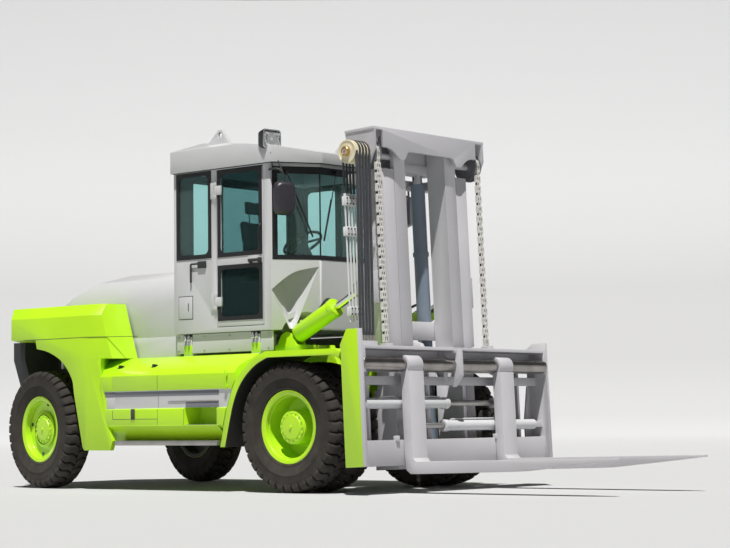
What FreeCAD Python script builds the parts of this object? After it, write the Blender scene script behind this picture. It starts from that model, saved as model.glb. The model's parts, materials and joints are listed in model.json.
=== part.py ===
"""Heavy counterbalance forklift with an enclosed cab, a two-stage mast and a fork positioner.

Frame: +X towards the fork tips, +Y to the truck's left, +Z up. Lengths are in millimetres.
The truck is drawn from its drive axle (x = 0 over the axle, z = 0 on the floor), the mast is drawn
upright and leaned back about its foot pivot, and everything is shifted along X at the end so that
the origin lies on the floor under the middle of the whole outline.
"""
import FreeCAD, Part

import math
import os

V = FreeCAD.Vector

# ---------------------------------------------------------------- driving dimensions
WHEELBASE = 3522.0
AX = -WHEELBASE               # the steer axle; what lies behind the cab is placed from it
WHEEL_Z = 613.0               # height of both axle lines, the tyre's radius
TYRE_W = 300.0
CROWN_HALF = 95.0             # flat of the tread
LUGS = 28
LUG_H = 34.0
LUG_HALF = 45.0
RIM_R = 343.0                 # rim flange
RIM_WALL = 14.0
RIM_SEAT = 32.0               # tyre seat under the flange's edge
RIM_W = 240.0
FRONT_TYRE_Y = 1098.0         # middle of the outer twin
TWIN_PITCH = 345.0
REAR_TYRE_Y = 1093.0
HUB_R = 160.0
HUB_FACE_IN = 60.0            # hub face inside the outer rim's plane
AXLE_R = 150.0                # drive axle tube
AXLE_END_R = 90.0
AXLE_IN_HUB = 170.0
STUB_R = 60.0
FIT = 0.3                     # gap round a pin or shaft in its bore
DISC_T = 24.0
KINGPIN_Y = 850.0
KINGPIN_R = 38.0
ARM_HALF = 15.0               # half width of the steering arm
ARM_REACH = 165.0             # kept short so that its tip swings past the axle beam
CRADLE_R = 70.0               # pin the steer axle rocks on
STEER_REST = -8.0             # rear wheels as parked, degrees about +Z

BODY_HALF = 1280.0            # tank, fender and rear cover
REAR_X = AX - 928
REAR_TOP = 1890.0
REAR_LOWER = 1550.0
COVER_FRONT_LOW = AX + 1102
COVER_FRONT_TOP = AX + 922
DECK_Z = 1325.0               # top of tanks and fenders

CAB_HALF = 950.0
CAB_BACK = -1800.0
CAB_SIDE_FRONT = -460.0
CAB_NOSE = -200.0
CAB_NOSE_HALF = 525.0
CAB_FLOOR = 1545.0
CAB_TOP = 3157.0
CAB_WALL = 45.0
GLASS_T = 8.0
SILL_Z = 2235.0               # lower edge of the front glass
GLASS_TOP = 3110.0
SIDE_SILL_Z = 2305.0
DOOR_BACK = -1190.0
DOOR_FRONT = -560.0
DOOR_TOP = 3140.0
DOOR_GAP = 6.0
HINGE_OUT = 16.0              # hinge line outside the cab's side
ROOF_HALF = 1000.0
ROOF_OVER = 60.0
ROOF_EDGE_FRONT = CAB_TOP + 105.0
ROOF_EDGE_BACK = CAB_TOP + 218.0
ROOF_CREST = ROOF_EDGE_BACK + 100.0
EYE_TOP = ROOF_CREST + 80.0

MAST_TILT = 2.6               # parked lean, degrees back
PIVOT_X = 320.0
PIVOT_Z = 600.0
PIVOT_R = 45.0
RAIL_BACK = 580.0
RAIL_FRONT = 800.0
RAIL_OUT = 595.0
RAIL_SPLIT = 468.0            # between the outer and the inner section
RAIL_IN = 302.0
RAIL_WEB = 34.0
RAIL_FLANGE = 40.0
RAIL_LOW = 190.0
OUTER_TOP = 3010.0
DOUBLER = 35.0
DOUBLER_LOW = 1350.0
RUN = 6.0                     # clearance between sections that slide
HEAD_HALF = 826.0
HEAD_BACK = 528.0
HEAD_FRONT = 884.0
HEAD_TOP = 3378.0
HEAD_PLATE = 26.0
HEAD_LIP = 9.0                # top plate past the cheeks
LOBE_Z = 3094.0
ARCH_Z = 3178.0
LOBE_Y = 434.0
ARCH_HALF = 315.0
SHEAVE_X = 735.0
SHEAVE_Z = 3135.0
SHEAVE_R = 113.0              # to the chain's middle
SHEAVE_PIN = 30.0
CHAIN_Y = 758.0
CHAIN_W = 52.0
CHAIN_T = 44.0
HOSE_ROLL_R = 110.0
HOSE_ROLLS = 5
HOSE_PITCH = 44.0
HOSE_R = 11.0
LIFT_X = 480.0
LIFT_Y = 270.0
LIFT_R = 70.0
LIFT_ROD_R = 50.0
LIFT_LOW = 260.0
LIFT_TOP = 2960.0

CARR_HALF = 1413.0
CARR_PLATE = 35.0
CARR_FRONT = 1105.0
CARR_BACK = 865.0
CARR_LOW = 222.0
CARR_TOP = 1307.0
CARR_HORN = 1455.0
CARR_HORN_CUT = 80.0
SHAFT_X = 1060.0
SHAFT_Z = 1140.0
SHAFT_R = 47.0
LOW_RAIL_Z = 455.0
POS_UP_Z = 790.0
POS_LOW_Z = 580.0
POS_X = 985.0
POS_R = 50.0
POS_FOOT = 1270.0             # where each barrel's foot starts
POS_ROD_R = 26.0
FORK_Y = 768.0
FORK_W = 245.0
FORK_BACK = 1048.0
FORK_T = 95.0
FORK_KNUCKLE_R = 88.0
FORK_TIP = 3306.0
FORK_HEEL_Z = 249.0           # top of the blade at the shank
FORK_TIP_Z = 189.0
FORK_BLADE = 112.0
FORK_TAPER = 2280.0
FORK_EDGE = 16.0

TILT_Y = 700.0
TILT_BACK_X = -420.0
TILT_BACK_Z = 1462.0
TILT_EYE_X = 478.0
TILT_EYE_Z = 1902.0
TILT_R = 88.0
TILT_ROD_R = 38.0
TILT_BARREL = 640.0
TILT_EYE_W = 70.0
TILT_PIN_R = 32.0
EYE_SLACK = 9.0               # extra radius in the rod's eye


# ---------------------------------------------------------------- small makers
def box(x0, x1, y0, y1, z0, z1):
    return Part.makeBox(x1 - x0, y1 - y0, z1 - z0, V(x0, y0, z0))


def rod_y(x, z, r, y0, y1):
    return Part.makeCylinder(r, y1 - y0, V(x, y0, z), V(0, 1, 0))


def span_y(x, z, r, a, b):
    """Cylinder along Y between two ends given in either order."""
    return rod_y(x, z, r, min(a, b), max(a, b))


def rod_z(x, y, r, z0, z1):
    return Part.makeCylinder(r, z1 - z0, V(x, y, z0), V(0, 0, 1))


def rod(a, b, r):
    return Part.makeCylinder(r, (b - a).Length, a, b - a)


def face(points):
    return Part.Face(Part.makePolygon(points + [points[0]]))


def slab_y(xz, y0, y1):
    """Outline in X and Z, thick along Y."""
    return face([V(x, y0, z) for x, z in xz]).extrude(V(0, y1 - y0, 0))


def slab_x(yz, x0, x1):
    """Outline in Y and Z, thick along X."""
    return face([V(x0, y, z) for y, z in yz]).extrude(V(x1 - x0, 0, 0))


def slab_z(xy, z0, z1):
    """Outline in X and Y, thick along Z."""
    return face([V(x, y, z0) for x, y in xy]).extrude(V(0, 0, z1 - z0))


def fuse(shapes):
    whole = shapes[0]
    if len(shapes) > 1:
        whole = whole.fuse(shapes[1:])
    return whole.removeSplitter()


def other_side(shape):
    return shape.mirror(V(0, 0, 0), V(0, 1, 0))


def both(shape):
    return [shape, other_side(shape)]


def turned(profile, x, y, z, axis):
    """Solid of revolution about an axis through (x, y, z); profile is (radius, along) points."""
    side = V(0, 0, 1) if abs(axis.z) < 0.5 else V(1, 0, 0)
    base = V(x, y, z)
    outline = [base + side * r + axis * a for r, a in profile]
    return face(outline).revolve(base, axis, 360)


def lean(shape):
    """Mast frame to truck frame: leans back about the foot pivot."""
    moved = shape.copy()
    moved.rotate(V(PIVOT_X, 0, PIVOT_Z), V(0, 1, 0), -MAST_TILT)
    return moved


def lean_point(x, z):
    a = math.radians(MAST_TILT)
    dx, dz = x - PIVOT_X, z - PIVOT_Z
    return (PIVOT_X + dx * math.cos(a) - dz * math.sin(a), PIVOT_Z + dx * math.sin(a) + dz * math.cos(a))


def flowing(points, per=3):
    """Smooth run through the points, as a rolled edge follows them."""
    ends = [points[0]] + points + [points[-1]]
    run = [points[0]]
    for before, start, end, after in zip(ends, ends[1:], ends[2:], ends[3:]):
        for k in range(1, per + 1):
            t = k / per
            run.append(tuple(0.5 * (2 * q + (r - p) * t + (2 * p - 5 * q + 4 * r - s) * t ** 2
                                    + (3 * q - p - 3 * r + s) * t ** 3)
                             for p, q, r, s in zip(before, start, end, after)))
    return run


SHIFT_X = -(lean_point(FORK_TIP, FORK_TIP_Z)[0] + REAR_X) / 2

os.makedirs("parts", exist_ok=True)
made = []


def keep(name, shapes, mast=False):
    """Write one node: a solid, or several that don't touch."""
    if not isinstance(shapes, list):
        shapes = [shapes]
    solids = []
    for shape in shapes:
        placed = lean(shape) if mast else shape.copy()
        placed.translate(V(SHIFT_X, 0, 0))
        solids.extend(placed.Solids)
    whole = solids[0] if len(solids) == 1 else Part.makeCompound(solids)
    whole.exportStep("parts/" + name + ".step")
    made.append(name)


# ---------------------------------------------------------------- wheels
def faceted_ring(rows, count):
    """Ring of flat facets about the Y axis; rows are (radius to the flats, y), in order round the section."""
    half_step = math.pi / count
    corners = [[V(r / math.cos(half_step) * math.sin((2 * k + 1) * half_step), y,
                  r / math.cos(half_step) * math.cos((2 * k + 1) * half_step)) for r, y in rows]
               for k in range(count)]
    faces = []
    for k in range(count):
        here, there = corners[k - 1], corners[k]
        for i in range(len(rows)):
            j = (i + 1) % len(rows)
            faces.append(Part.Face(Part.makePolygon([here[i], here[j], there[j], there[i], here[i]])))
    ring = Part.Solid(Part.Shell(faces))
    if ring.Volume < 0:
        ring.reverse()
    return ring


def lugged_tyre():
    """Carcass with one straight lug on each flat, about the origin."""
    half = TYRE_W / 2
    floor = WHEEL_Z - LUG_H
    right = [(RIM_R - RIM_SEAT, RIM_W / 2 - 22), (RIM_R, RIM_W / 2 - 14), (RIM_R + 110, half),
             (floor, half - 14)]
    ring = faceted_ring(right + [(r, -y) for r, y in reversed(right)], LUGS)
    crown = [(half - 16, floor - 4), (CROWN_HALF, WHEEL_Z)]
    block = slab_x(crown + [(-y, r) for y, r in reversed(crown)], -LUG_HALF, LUG_HALF)
    blocks = []
    for k in range(LUGS):
        turned_block = block.copy()
        turned_block.rotate(V(0, 0, 0), V(0, 1, 0), 360.0 * k / LUGS)
        blocks.append(turned_block)
    return ring.multiFuse(blocks).removeSplitter().Solids[0]


ONE_TYRE = lugged_tyre()


def tyre(y):
    placed = ONE_TYRE.copy()
    placed.translate(V(0, y, WHEEL_Z))
    return placed


def rim(y, side):
    """Rim barrel with its flanges; side is -1 with the outer plane towards -Y."""
    half = RIM_W / 2
    seat = RIM_R - RIM_SEAT
    profile = [(seat, -half + 22), (RIM_R, -half + 14), (RIM_R, -half), (RIM_R - 12, -half),
               (seat - RIM_WALL, -half + 12), (seat - RIM_WALL, half - 12), (RIM_R - 12, half),
               (RIM_R, half), (RIM_R, half - 14), (seat, half - 22)]
    return turned([(r, a * side) for r, a in profile], 0, y, WHEEL_Z, V(0, 1, 0))


BARREL_IN = RIM_R - RIM_SEAT - RIM_WALL


def hub_and_disc(disc, face_y, side, back):
    """Disc welded in the rim and the hub drum that stands out of it."""
    return [span_y(0, WHEEL_Z, BARREL_IN + RIM_WALL / 2, disc, disc + side * DISC_T),
            span_y(0, WHEEL_Z, HUB_R, disc - side * back, face_y)]


def front_wheel(side):
    """Twin rims on one hub; side is -1 on the right."""
    outer, inner = side * FRONT_TYRE_Y, side * (FRONT_TYRE_Y - TWIN_PITCH)
    face_y = side * (FRONT_TYRE_Y + RIM_W / 2 - HUB_FACE_IN)
    disc_y = side * (FRONT_TYRE_Y - TWIN_PITCH / 2)
    overlap = RIM_W / 2 - 50
    spacer = span_y(0, WHEEL_Z, BARREL_IN + RIM_WALL, inner + side * overlap, outer - side * overlap)
    spacer = spacer.cut(span_y(0, WHEEL_Z, BARREL_IN, inner, outer))
    rims = fuse([rim(outer, side), rim(inner, side), spacer] + hub_and_disc(disc_y, face_y, side, 0))
    bore = span_y(0, WHEEL_Z, AXLE_END_R + FIT, disc_y - side * 60, disc_y + side * AXLE_IN_HUB)
    return rims.cut(bore), [tyre(outer), tyre(inner)]


for side, hand in ((-1, "right"), (1, "left")):
    rims, tyres = front_wheel(side)
    keep("front_rims_" + hand, rims)
    keep("front_tyres_" + hand, tyres)


def steered(shape, side):
    """Turn about that side's kingpin to the parked steering angle."""
    placed = shape.copy()
    placed.translate(V(-WHEELBASE, 0, 0))
    placed.rotate(V(-WHEELBASE, side * KINGPIN_Y, 0), V(0, 0, 1), STEER_REST)
    return placed


for side, hand in ((-1, "right"), (1, "left")):
    mid = side * REAR_TYRE_Y
    face_y = side * (REAR_TYRE_Y + RIM_W / 2 - HUB_FACE_IN)
    disc = mid + side * 20
    stub_end = disc + side * 30
    wheel = fuse([rim(mid, side)] + hub_and_disc(disc, face_y, side, 30))
    wheel = wheel.cut(span_y(0, WHEEL_Z, STUB_R + FIT, mid - side * 80, stub_end + side * 5))
    keep("rear_rim_" + hand, steered(wheel, side))
    keep("rear_tyre_" + hand, steered(tyre(mid), side))
    stub = span_y(0, WHEEL_Z, STUB_R, side * KINGPIN_Y, stub_end)
    boss = rod_z(0, side * KINGPIN_Y, 80, WHEEL_Z - 85, WHEEL_Z + 85)
    arm = box(-ARM_REACH, 0, side * KINGPIN_Y - ARM_HALF, side * KINGPIN_Y + ARM_HALF, WHEEL_Z - 25,
              WHEEL_Z + 25)
    knuckle = fuse([stub, boss, arm]).cut(rod_z(0, side * KINGPIN_Y, KINGPIN_R + FIT, 0, 2000))
    keep("steer_knuckle_" + hand, steered(knuckle, side))

# ---------------------------------------------------------------- axles
axle_in = FRONT_TYRE_Y - TWIN_PITCH - TYRE_W / 2 - 35
axle_reach = FRONT_TYRE_Y - TWIN_PITCH / 2 + AXLE_IN_HUB - 5
front_axle = fuse([rod_y(0, WHEEL_Z, AXLE_R, -axle_in, axle_in), rod_y(0, WHEEL_Z, 225, -190, 190),
                   rod_y(0, WHEEL_Z, AXLE_END_R, -axle_reach, axle_reach)])
keep("front_axle", front_axle)

fork_gap = 90
beam_end = KINGPIN_Y + 70
steer_beam = [box(-110, 110, -KINGPIN_Y + 160, KINGPIN_Y - 160, WHEEL_Z - 100, WHEEL_Z + 100)]
for side in (-1, 1):
    y0, y1 = sorted((side * 640, side * beam_end))
    for z0, z1 in ((WHEEL_Z - 135, WHEEL_Z - fork_gap), (WHEEL_Z + fork_gap, WHEEL_Z + 135)):
        steer_beam.append(box(-75, 75, y0, y1, z0, z1))
    y0, y1 = sorted((side * 640, side * 700))
    steer_beam.append(box(-75, 75, y0, y1, WHEEL_Z - 135, WHEEL_Z + 135))
    steer_beam.append(rod_z(0, side * KINGPIN_Y, KINGPIN_R, WHEEL_Z - 150, WHEEL_Z + 150))
steer_beam.append(Part.makeCylinder(CRADLE_R, 420, V(-210, 0, WHEEL_Z), V(1, 0, 0)))
steer_axle = fuse(steer_beam)
steer_axle.translate(V(-WHEELBASE, 0, 0))
keep("steer_axle", steer_axle)

# ---------------------------------------------------------------- chassis
FRAME_IN = 300.0
FRAME_OUT = 360.0
CROSS_MID = (AX + 1122, AX + 1262, 700.0, 1100.0)   # x and z limits of the middle cross member
side_member = slab_y([(240, 480), (240, 900), (-120, 1180), (-230, 1400), (-720, 1400), (-840, 1180),
                      (AX + 1022, 1180), (AX - 378, 1240), (AX - 378, 980), (AX + 472, 850), (AX + 1022, 640), (-600, 640),
                      (-240, 850), (-160, 850), (-160, 480)], FRAME_IN, FRAME_OUT)
side_member = side_member.cut(rod_y(0, WHEEL_Z, AXLE_R, 0, 600))
axle_pad = box(-210, 210, FRAME_IN - 60, FRAME_OUT + 40, WHEEL_Z + AXLE_R - 10, 880)
axle_pad = axle_pad.cut(rod_y(0, WHEEL_Z, AXLE_R, 0, 600))
ear = [(-560, 1390), (-300, 1390), (-350, 1495), (-395, 1528), (-445, 1528), (-500, 1495)]
tilt_ear_in = slab_y(ear, TILT_Y - TILT_EYE_W / 2 - 40, TILT_Y - TILT_EYE_W / 2 - 3)
tilt_ear_out = slab_y(ear, TILT_Y + TILT_EYE_W / 2 + 3, TILT_Y + TILT_EYE_W / 2 + 40)
tilt_arm = box(-580, -280, FRAME_OUT - 10, TILT_Y + TILT_EYE_W / 2 + 40, DECK_Z + 20, 1400)
halves = []
for part in (side_member, axle_pad, tilt_ear_in, tilt_ear_out, tilt_arm):
    halves.extend(both(part))
cross = [box(-700, -560, -FRAME_IN, FRAME_IN, 700, 1100),
         box(*CROSS_MID[:2], -FRAME_IN, FRAME_IN, *CROSS_MID[2:]),
         box(AX - 378, AX - 238, -FRAME_IN, FRAME_IN, 1000, 1230),
         box(-WHEELBASE - 160, -WHEELBASE - 120, -FRAME_IN, FRAME_IN, WHEEL_Z - 110, 1100),
         box(-WHEELBASE + 120, -WHEELBASE + 160, -FRAME_IN, FRAME_IN, WHEEL_Z - 110, 1100)]
pin_reach = TILT_EYE_W / 2 + 40
tilt_pins = both(rod_y(TILT_BACK_X, TILT_BACK_Z, TILT_PIN_R, TILT_Y - pin_reach, TILT_Y + pin_reach))
mast_feet = both(slab_y([(150, 480), (360, 520), (360, 690), (150, 900)], FRAME_IN, FRAME_OUT))
chassis = fuse(halves + cross + tilt_pins + mast_feet)
chassis = chassis.cut(Part.makeCylinder(CRADLE_R + FIT, 600, V(-WHEELBASE - 300, 0, WHEEL_Z), V(1, 0, 0)))
chassis = chassis.fuse(rod_y(PIVOT_X, PIVOT_Z, PIVOT_R, -440, 440)).removeSplitter()
keep("chassis_frame", chassis)

# ---------------------------------------------------------------- counterweight and rear cover
WING_IN = 880.0
ARCH_STEPS = 3
arch_run = flowing([(AX - 13, 1450), (AX + 186, 1407), (AX + 398, 1298), (AX + 542, 1123), (AX + 579, 952),
                    (AX + 707, 424)], ARCH_STEPS)
ARCH = [(AX - 38, REAR_LOWER)] + arch_run[:2 * ARCH_STEPS + 1]
COVER_EDGE = [(COVER_FRONT_LOW, 1298), (COVER_FRONT_LOW - 130, 1131), (AX + 1063, 877), (AX + 1050, 709),
              (AX + 1162, 490), (AX + 1122, 395)]
cover_side = [(COVER_FRONT_LOW, 1298), (COVER_FRONT_LOW, DECK_Z), (COVER_FRONT_TOP, REAR_TOP),
              (REAR_X, REAR_TOP), (REAR_X, REAR_LOWER)] + ARCH
REAR_CORNER_X = AX - 428
REAR_CORNER_Y = 705.0
cover_plan = [(COVER_FRONT_LOW, -BODY_HALF), (COVER_FRONT_LOW, BODY_HALF), (REAR_CORNER_X, BODY_HALF),
              (REAR_X, REAR_CORNER_Y), (REAR_X, -REAR_CORNER_Y), (REAR_CORNER_X, -BODY_HALF)]
EDGE_DROP = 120.0
cover_cross = [(-BODY_HALF, 0), (-BODY_HALF, REAR_TOP - EDGE_DROP), (-BODY_HALF + EDGE_DROP, REAR_TOP),
               (BODY_HALF - EDGE_DROP, REAR_TOP), (BODY_HALF, REAR_TOP - EDGE_DROP), (BODY_HALF, 0)]
counterweight = slab_y(cover_side, -BODY_HALF, BODY_HALF)
counterweight = counterweight.common(slab_z(cover_plan, 0, 2500))
counterweight = counterweight.common(slab_x(cover_cross, REAR_X, 0))
BAY_BACK = AX - 128
counterweight = counterweight.cut(box(BAY_BACK, 0, -WING_IN, WING_IN, 0, 2500))
# radiator grille in the rear face: a recess with slats across it, and a pocket for each tail lamp
GRILLE_HALF, GRILLE_LOW, GRILLE_TOP, GRILLE_DEEP = 420.0, 1600.0, 1750.0, 70.0
SLAT_PITCH, SLAT_T = 30.0, 9.0
grille = box(REAR_X, REAR_X + GRILLE_DEEP, -GRILLE_HALF, GRILLE_HALF, GRILLE_LOW, GRILLE_TOP)
counterweight = counterweight.cut(grille)
slats = [box(REAR_X + 8, REAR_X + 45, -GRILLE_HALF - 1, GRILLE_HALF + 1,
             GRILLE_LOW + SLAT_PITCH * k - SLAT_T / 2,
             GRILLE_LOW + SLAT_PITCH * k + SLAT_T / 2) for k in range(1, 5)]
counterweight = fuse([counterweight] + slats)
for pocket in both(box(REAR_X, REAR_X + 25, 500, 640, 1640, 1720)):
    counterweight = counterweight.cut(pocket)
SKIRT_T = 50.0
skirt = slab_y(arch_run[2 * ARCH_STEPS:] + [(AX + 733, 395)] + COVER_EDGE[::-1], BODY_HALF - SKIRT_T,
               BODY_HALF)
counterweight = fuse([counterweight] + both(skirt))
HOOD_HALF = 860.0
HOOD_WALL = 30.0
HOOD_PIN_X = AX - 88
HOOD_PIN_Z = 1860.0
HOOD_PIN_R = 10.0
hood_pin = rod_y(HOOD_PIN_X, HOOD_PIN_Z, HOOD_PIN_R, HOOD_HALF - HOOD_WALL + 5, WING_IN + 5)
keep("counterweight", fuse([counterweight] + both(hood_pin)))

LOWER_HALF = 850.0
lower = slab_x([(-LOWER_HALF, REAR_LOWER), (-LOWER_HALF, 1360), (-LOWER_HALF + 200, 760),
                (LOWER_HALF - 200, 760), (LOWER_HALF, 1360), (LOWER_HALF,
                                                              REAR_LOWER)], REAR_X + 12, AX - 723)
lower = lower.cut(box(REAR_X, REAR_X + 150, -90, 90, 940, 1030)).fuse(rod_z(REAR_X + 72, 0, 22, 900, 1070))
core = box(AX - 723, AX - 378, -380, 380, 760, REAR_LOWER)
keep("counterweight_lower", fuse([lower, core]))

# ---------------------------------------------------------------- engine bay and its hood
HOOD_LOW = 1535.0
HOOD_FRONT = -1812.0
HOOD_TOP = 2235.0
HOOD_SLANT = 30.0             # lets the lower front corner swing past the cab
hood_side = [(HOOD_FRONT - HOOD_SLANT, HOOD_LOW), (HOOD_FRONT, 1880), (HOOD_FRONT, HOOD_TOP),
             (AX + 722, HOOD_TOP - 30), (AX + 372, HOOD_TOP - 110), (AX + 102, HOOD_TOP - 230),
             (AX - 78, HOOD_TOP - 335), (AX - 103, HOOD_TOP - 360), (AX - 103, HOOD_LOW)]


def hood_solid(inset):
    side = slab_y([(x, z - inset) for x, z in hood_side], -HOOD_HALF, HOOD_HALF)
    half, top, shoulder = HOOD_HALF - inset, HOOD_TOP - inset, 250.0
    right = [(-half, 1000), (-half, top - shoulder), (-half + 80, top - 100), (-half + 240, top - 30)]
    cross = right + [(0, top + 5)] + [(-y, z) for y, z in reversed(right)]
    return side.common(slab_x(cross, AX - 178 + inset, HOOD_FRONT + 1 - inset))


hood = hood_solid(0).cut(hood_solid(HOOD_WALL).common(box(AX - 73, HOOD_FRONT - HOOD_WALL, -900, 900, 0,
                                                          3000)))
for pin_bore in both(rod_y(HOOD_PIN_X, HOOD_PIN_Z, HOOD_PIN_R + 0.05, HOOD_HALF - HOOD_WALL - 5, WING_IN)):
    hood = hood.cut(pin_bore)
keep("engine_hood", hood)

COWL_LOW = 1190.0
cowl = [box(AX + 962, -1812, HOOD_HALF - HOOD_WALL, HOOD_HALF, DECK_Z - 60, HOOD_LOW - 0.3)]
cowl_cross = box(-1842, -1812, -HOOD_HALF, HOOD_HALF, COWL_LOW, HOOD_LOW - 0.3)
cowl_rear = box(AX - 114, AX - 78, -HOOD_HALF, HOOD_HALF, 1250, HOOD_LOW - 0.3)
cowl_rail = [box(AX - 114, AX + 962, HOOD_HALF - HOOD_WALL, HOOD_HALF, 1430, HOOD_LOW - 0.3)]
cowl_shelf = [box(-1842, -1812, FRAME_IN, HOOD_HALF, COWL_LOW - 5, COWL_LOW + 30)]
cowl_parts = []
for part in cowl + cowl_rail + cowl_shelf:
    cowl_parts.extend(both(part))
engine_cowl = fuse(cowl_parts + [cowl_cross, cowl_rear])

# plain block for the engine and gearbox, hung over the frame's middle cross member
engine = box(AX + 472, -1950, -FRAME_IN + 10, FRAME_IN - 10, 720, 1600)
gearbox = box(-1950, -1300, -220, 220, 720, 1140)
x0, x1, z0, z1 = CROSS_MID
engine_block = fuse([engine, gearbox]).cut(box(x0 - 10, x1 + 10, -FRAME_IN, FRAME_IN, z0 - 10, z1))
keep("engine_block", engine_block)

# ---------------------------------------------------------------- side tanks and steps
TANK_BACK = AX + 950
TANK_FRONT = -640.0
TANK_IN = 420.0
tank_cross = [(TANK_IN, 1180), (940, DECK_Z), (BODY_HALF - 60, 1200), (BODY_HALF, 1137), (BODY_HALF, 986),
              (BODY_HALF - 14, 978), (BODY_HALF - 14, 810), (BODY_HALF, 801), (BODY_HALF, 640),
              (BODY_HALF - 140, 560), (TANK_IN, 560)]
tank = slab_x(tank_cross, TANK_BACK, TANK_FRONT)
front_cut = slab_y([(-1000, 300)] + flowing([(-845, 429), (-790, 671), (-735, 865), (-665, 1018),
                                             (-640, 1060)])
                   + [(-600, 1400), (0, 1400), (0, 300)], 0, 2000)
tank = tank.cut(front_cut)
back_cut = slab_y([(TANK_BACK - 10, 1400), (COVER_FRONT_LOW + FIT, 1400)] + [(x + FIT, z) for x, z in COVER_EDGE]
                  + [(TANK_BACK - 10, 395)], 0, 2000)
tank = tank.cut(back_cut)
step_box = box(-1330, -880, BODY_HALF - 230, BODY_HALF + 20, 640, 812)
tank = tank.cut(step_box)
keep("side_tanks", both(tank))
keep("engine_cowl", engine_cowl.cut(fuse(both(tank))).cut(chassis))

STEP_Z = 490.0
STEP_BACK, STEP_FRONT = AX + 1192, -880.0
step = box(STEP_BACK, STEP_FRONT, BODY_HALF - 190, BODY_HALF, STEP_Z - 45, STEP_Z)
HANGER_W = 60.0
HANGER_X = (STEP_BACK + 130, (STEP_BACK + STEP_FRONT) / 2 - 35, STEP_FRONT - 200)
hangers = [box(x, x + HANGER_W, BODY_HALF - 190, BODY_HALF - 160, STEP_Z - 5, 575) for x in HANGER_X]
keep("step_rails", both(fuse([step] + hangers).cut(tank)))

# ---------------------------------------------------------------- front fenders
FENDER_IN = 610.0
FENDER_T = 25.0
outer_line = flowing([(-835, 429), (-775, 671), (-715, 865), (-640, 1030), (-530, 1161), (-390, 1263),
                      (-230, DECK_Z)]) + [(640, DECK_Z), (712, 1295)]
inner_line = [(700, 1270), (630, DECK_Z - FENDER_T)] + flowing(
    [(-222, DECK_Z - FENDER_T), (-375, 1240), (-508, 1142), (-616, 1014), (-690, 857), (-750, 665),
     (-810, 429)])
fender = slab_y(outer_line + inner_line, FENDER_IN, BODY_HALF)
lip_line = [(690, 1235), (615, DECK_Z - 60)] + flowing(
    [(-205, DECK_Z - 60), (-350, 1205), (-480, 1110), (-580, 995), (-655, 845), (-712, 655), (-770, 429)])
lip = slab_y(outer_line + lip_line, BODY_HALF - 22, BODY_HALF)
fender = fuse([fender, lip])
fender_stay = box(-40, 40, FRAME_OUT, FENDER_IN + 5, DECK_Z - FENDER_T, DECK_Z)
fender_leg = box(-40, 40, FRAME_OUT, FRAME_OUT + 20, 1000, DECK_Z)
keep("front_fenders", both(fuse([fender, fender_stay, fender_leg]).cut(chassis)))

# ---------------------------------------------------------------- cab
CORNER_A = V(CAB_SIDE_FRONT, CAB_HALF, 0)
CORNER_B = V(CAB_NOSE, CAB_NOSE_HALF, 0)
corner_len = (CORNER_B - CORNER_A).Length
corner_dir = (CORNER_B - CORNER_A) * (1 / corner_len)
corner_out = V(-corner_dir.y, corner_dir.x, 0)


def cab_plan(inset):
    """Cab outline in X and Y, each wall moved in by the inset."""
    turn_a = math.atan2(-corner_dir.y, corner_dir.x)
    xa = CAB_SIDE_FRONT - inset * math.tan(turn_a / 2)
    yb = CAB_NOSE_HALF - inset * math.tan((math.pi / 2 - turn_a) / 2)
    right = [(CAB_BACK + inset, -CAB_HALF + inset), (xa, -CAB_HALF + inset), (CAB_NOSE - inset, -yb)]
    left = [(x, -y) for x, y in reversed(right)]
    return right + left


def corner_block(t0, t1, depth0, depth1, z0, z1):
    """Block on the left corner panel: along it, in from its outer face, and in height."""
    pts = []
    for t, d in ((t0, depth0), (t1, depth0), (t1, depth1), (t0, depth1)):
        p = CORNER_A + corner_dir * t - corner_out * d
        pts.append((p.x, p.y))
    return slab_z(pts, z0, z1)


tilt_a = V(TILT_BACK_X, TILT_Y, TILT_BACK_Z)
tilt_b = V(TILT_EYE_X, TILT_Y, TILT_EYE_Z)
tilt_dir = (tilt_b - tilt_a).normalize()
NOTCH_R = 175.0


def notch(radius):
    start = tilt_a - tilt_dir * 400
    return both(rod(start, tilt_a + tilt_dir * 1200, radius))


outside = slab_z(cab_plan(0), CAB_FLOOR, CAB_TOP)
inside = slab_z(cab_plan(CAB_WALL), CAB_FLOOR + CAB_WALL, CAB_TOP)
for hollow in notch(NOTCH_R):
    outside = outside.cut(hollow)
for hollow in notch(NOTCH_R + CAB_WALL):
    inside = inside.cut(hollow)
shell = outside.cut(inside)
DOOR_LOW = CAB_FLOOR + 55
HINGE_X = DOOR_BACK - 3
HINGE_Z = (1800.0, 2900.0)
HINGE_H = 90.0
HINGE_R = 12.0
HINGE_PIN = 6.0


def cab_hinges():
    """Cab's half of the left door's hinges: a strap, a pin and the knuckles above and below."""
    bits = []
    y = CAB_HALF + HINGE_OUT
    for z in HINGE_Z:
        for z0 in (z - 35, z + HINGE_H + FIT):
            bits.append(rod_z(HINGE_X, y, HINGE_R, z0, z0 + 35 - FIT))
            bits.append(box(HINGE_X - 70, HINGE_X, CAB_HALF - 1, y, z0, z0 + 35 - FIT))
        bits.append(box(HINGE_X - 70, HINGE_X - HINGE_R - 12, CAB_HALF - 1, y, z - 35, z + HINGE_H + 35))
        bits.append(rod_z(HINGE_X, y, HINGE_PIN, z - 35, z + HINGE_H + 35))
    return fuse(bits[:5]), fuse(bits[5:])


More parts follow.
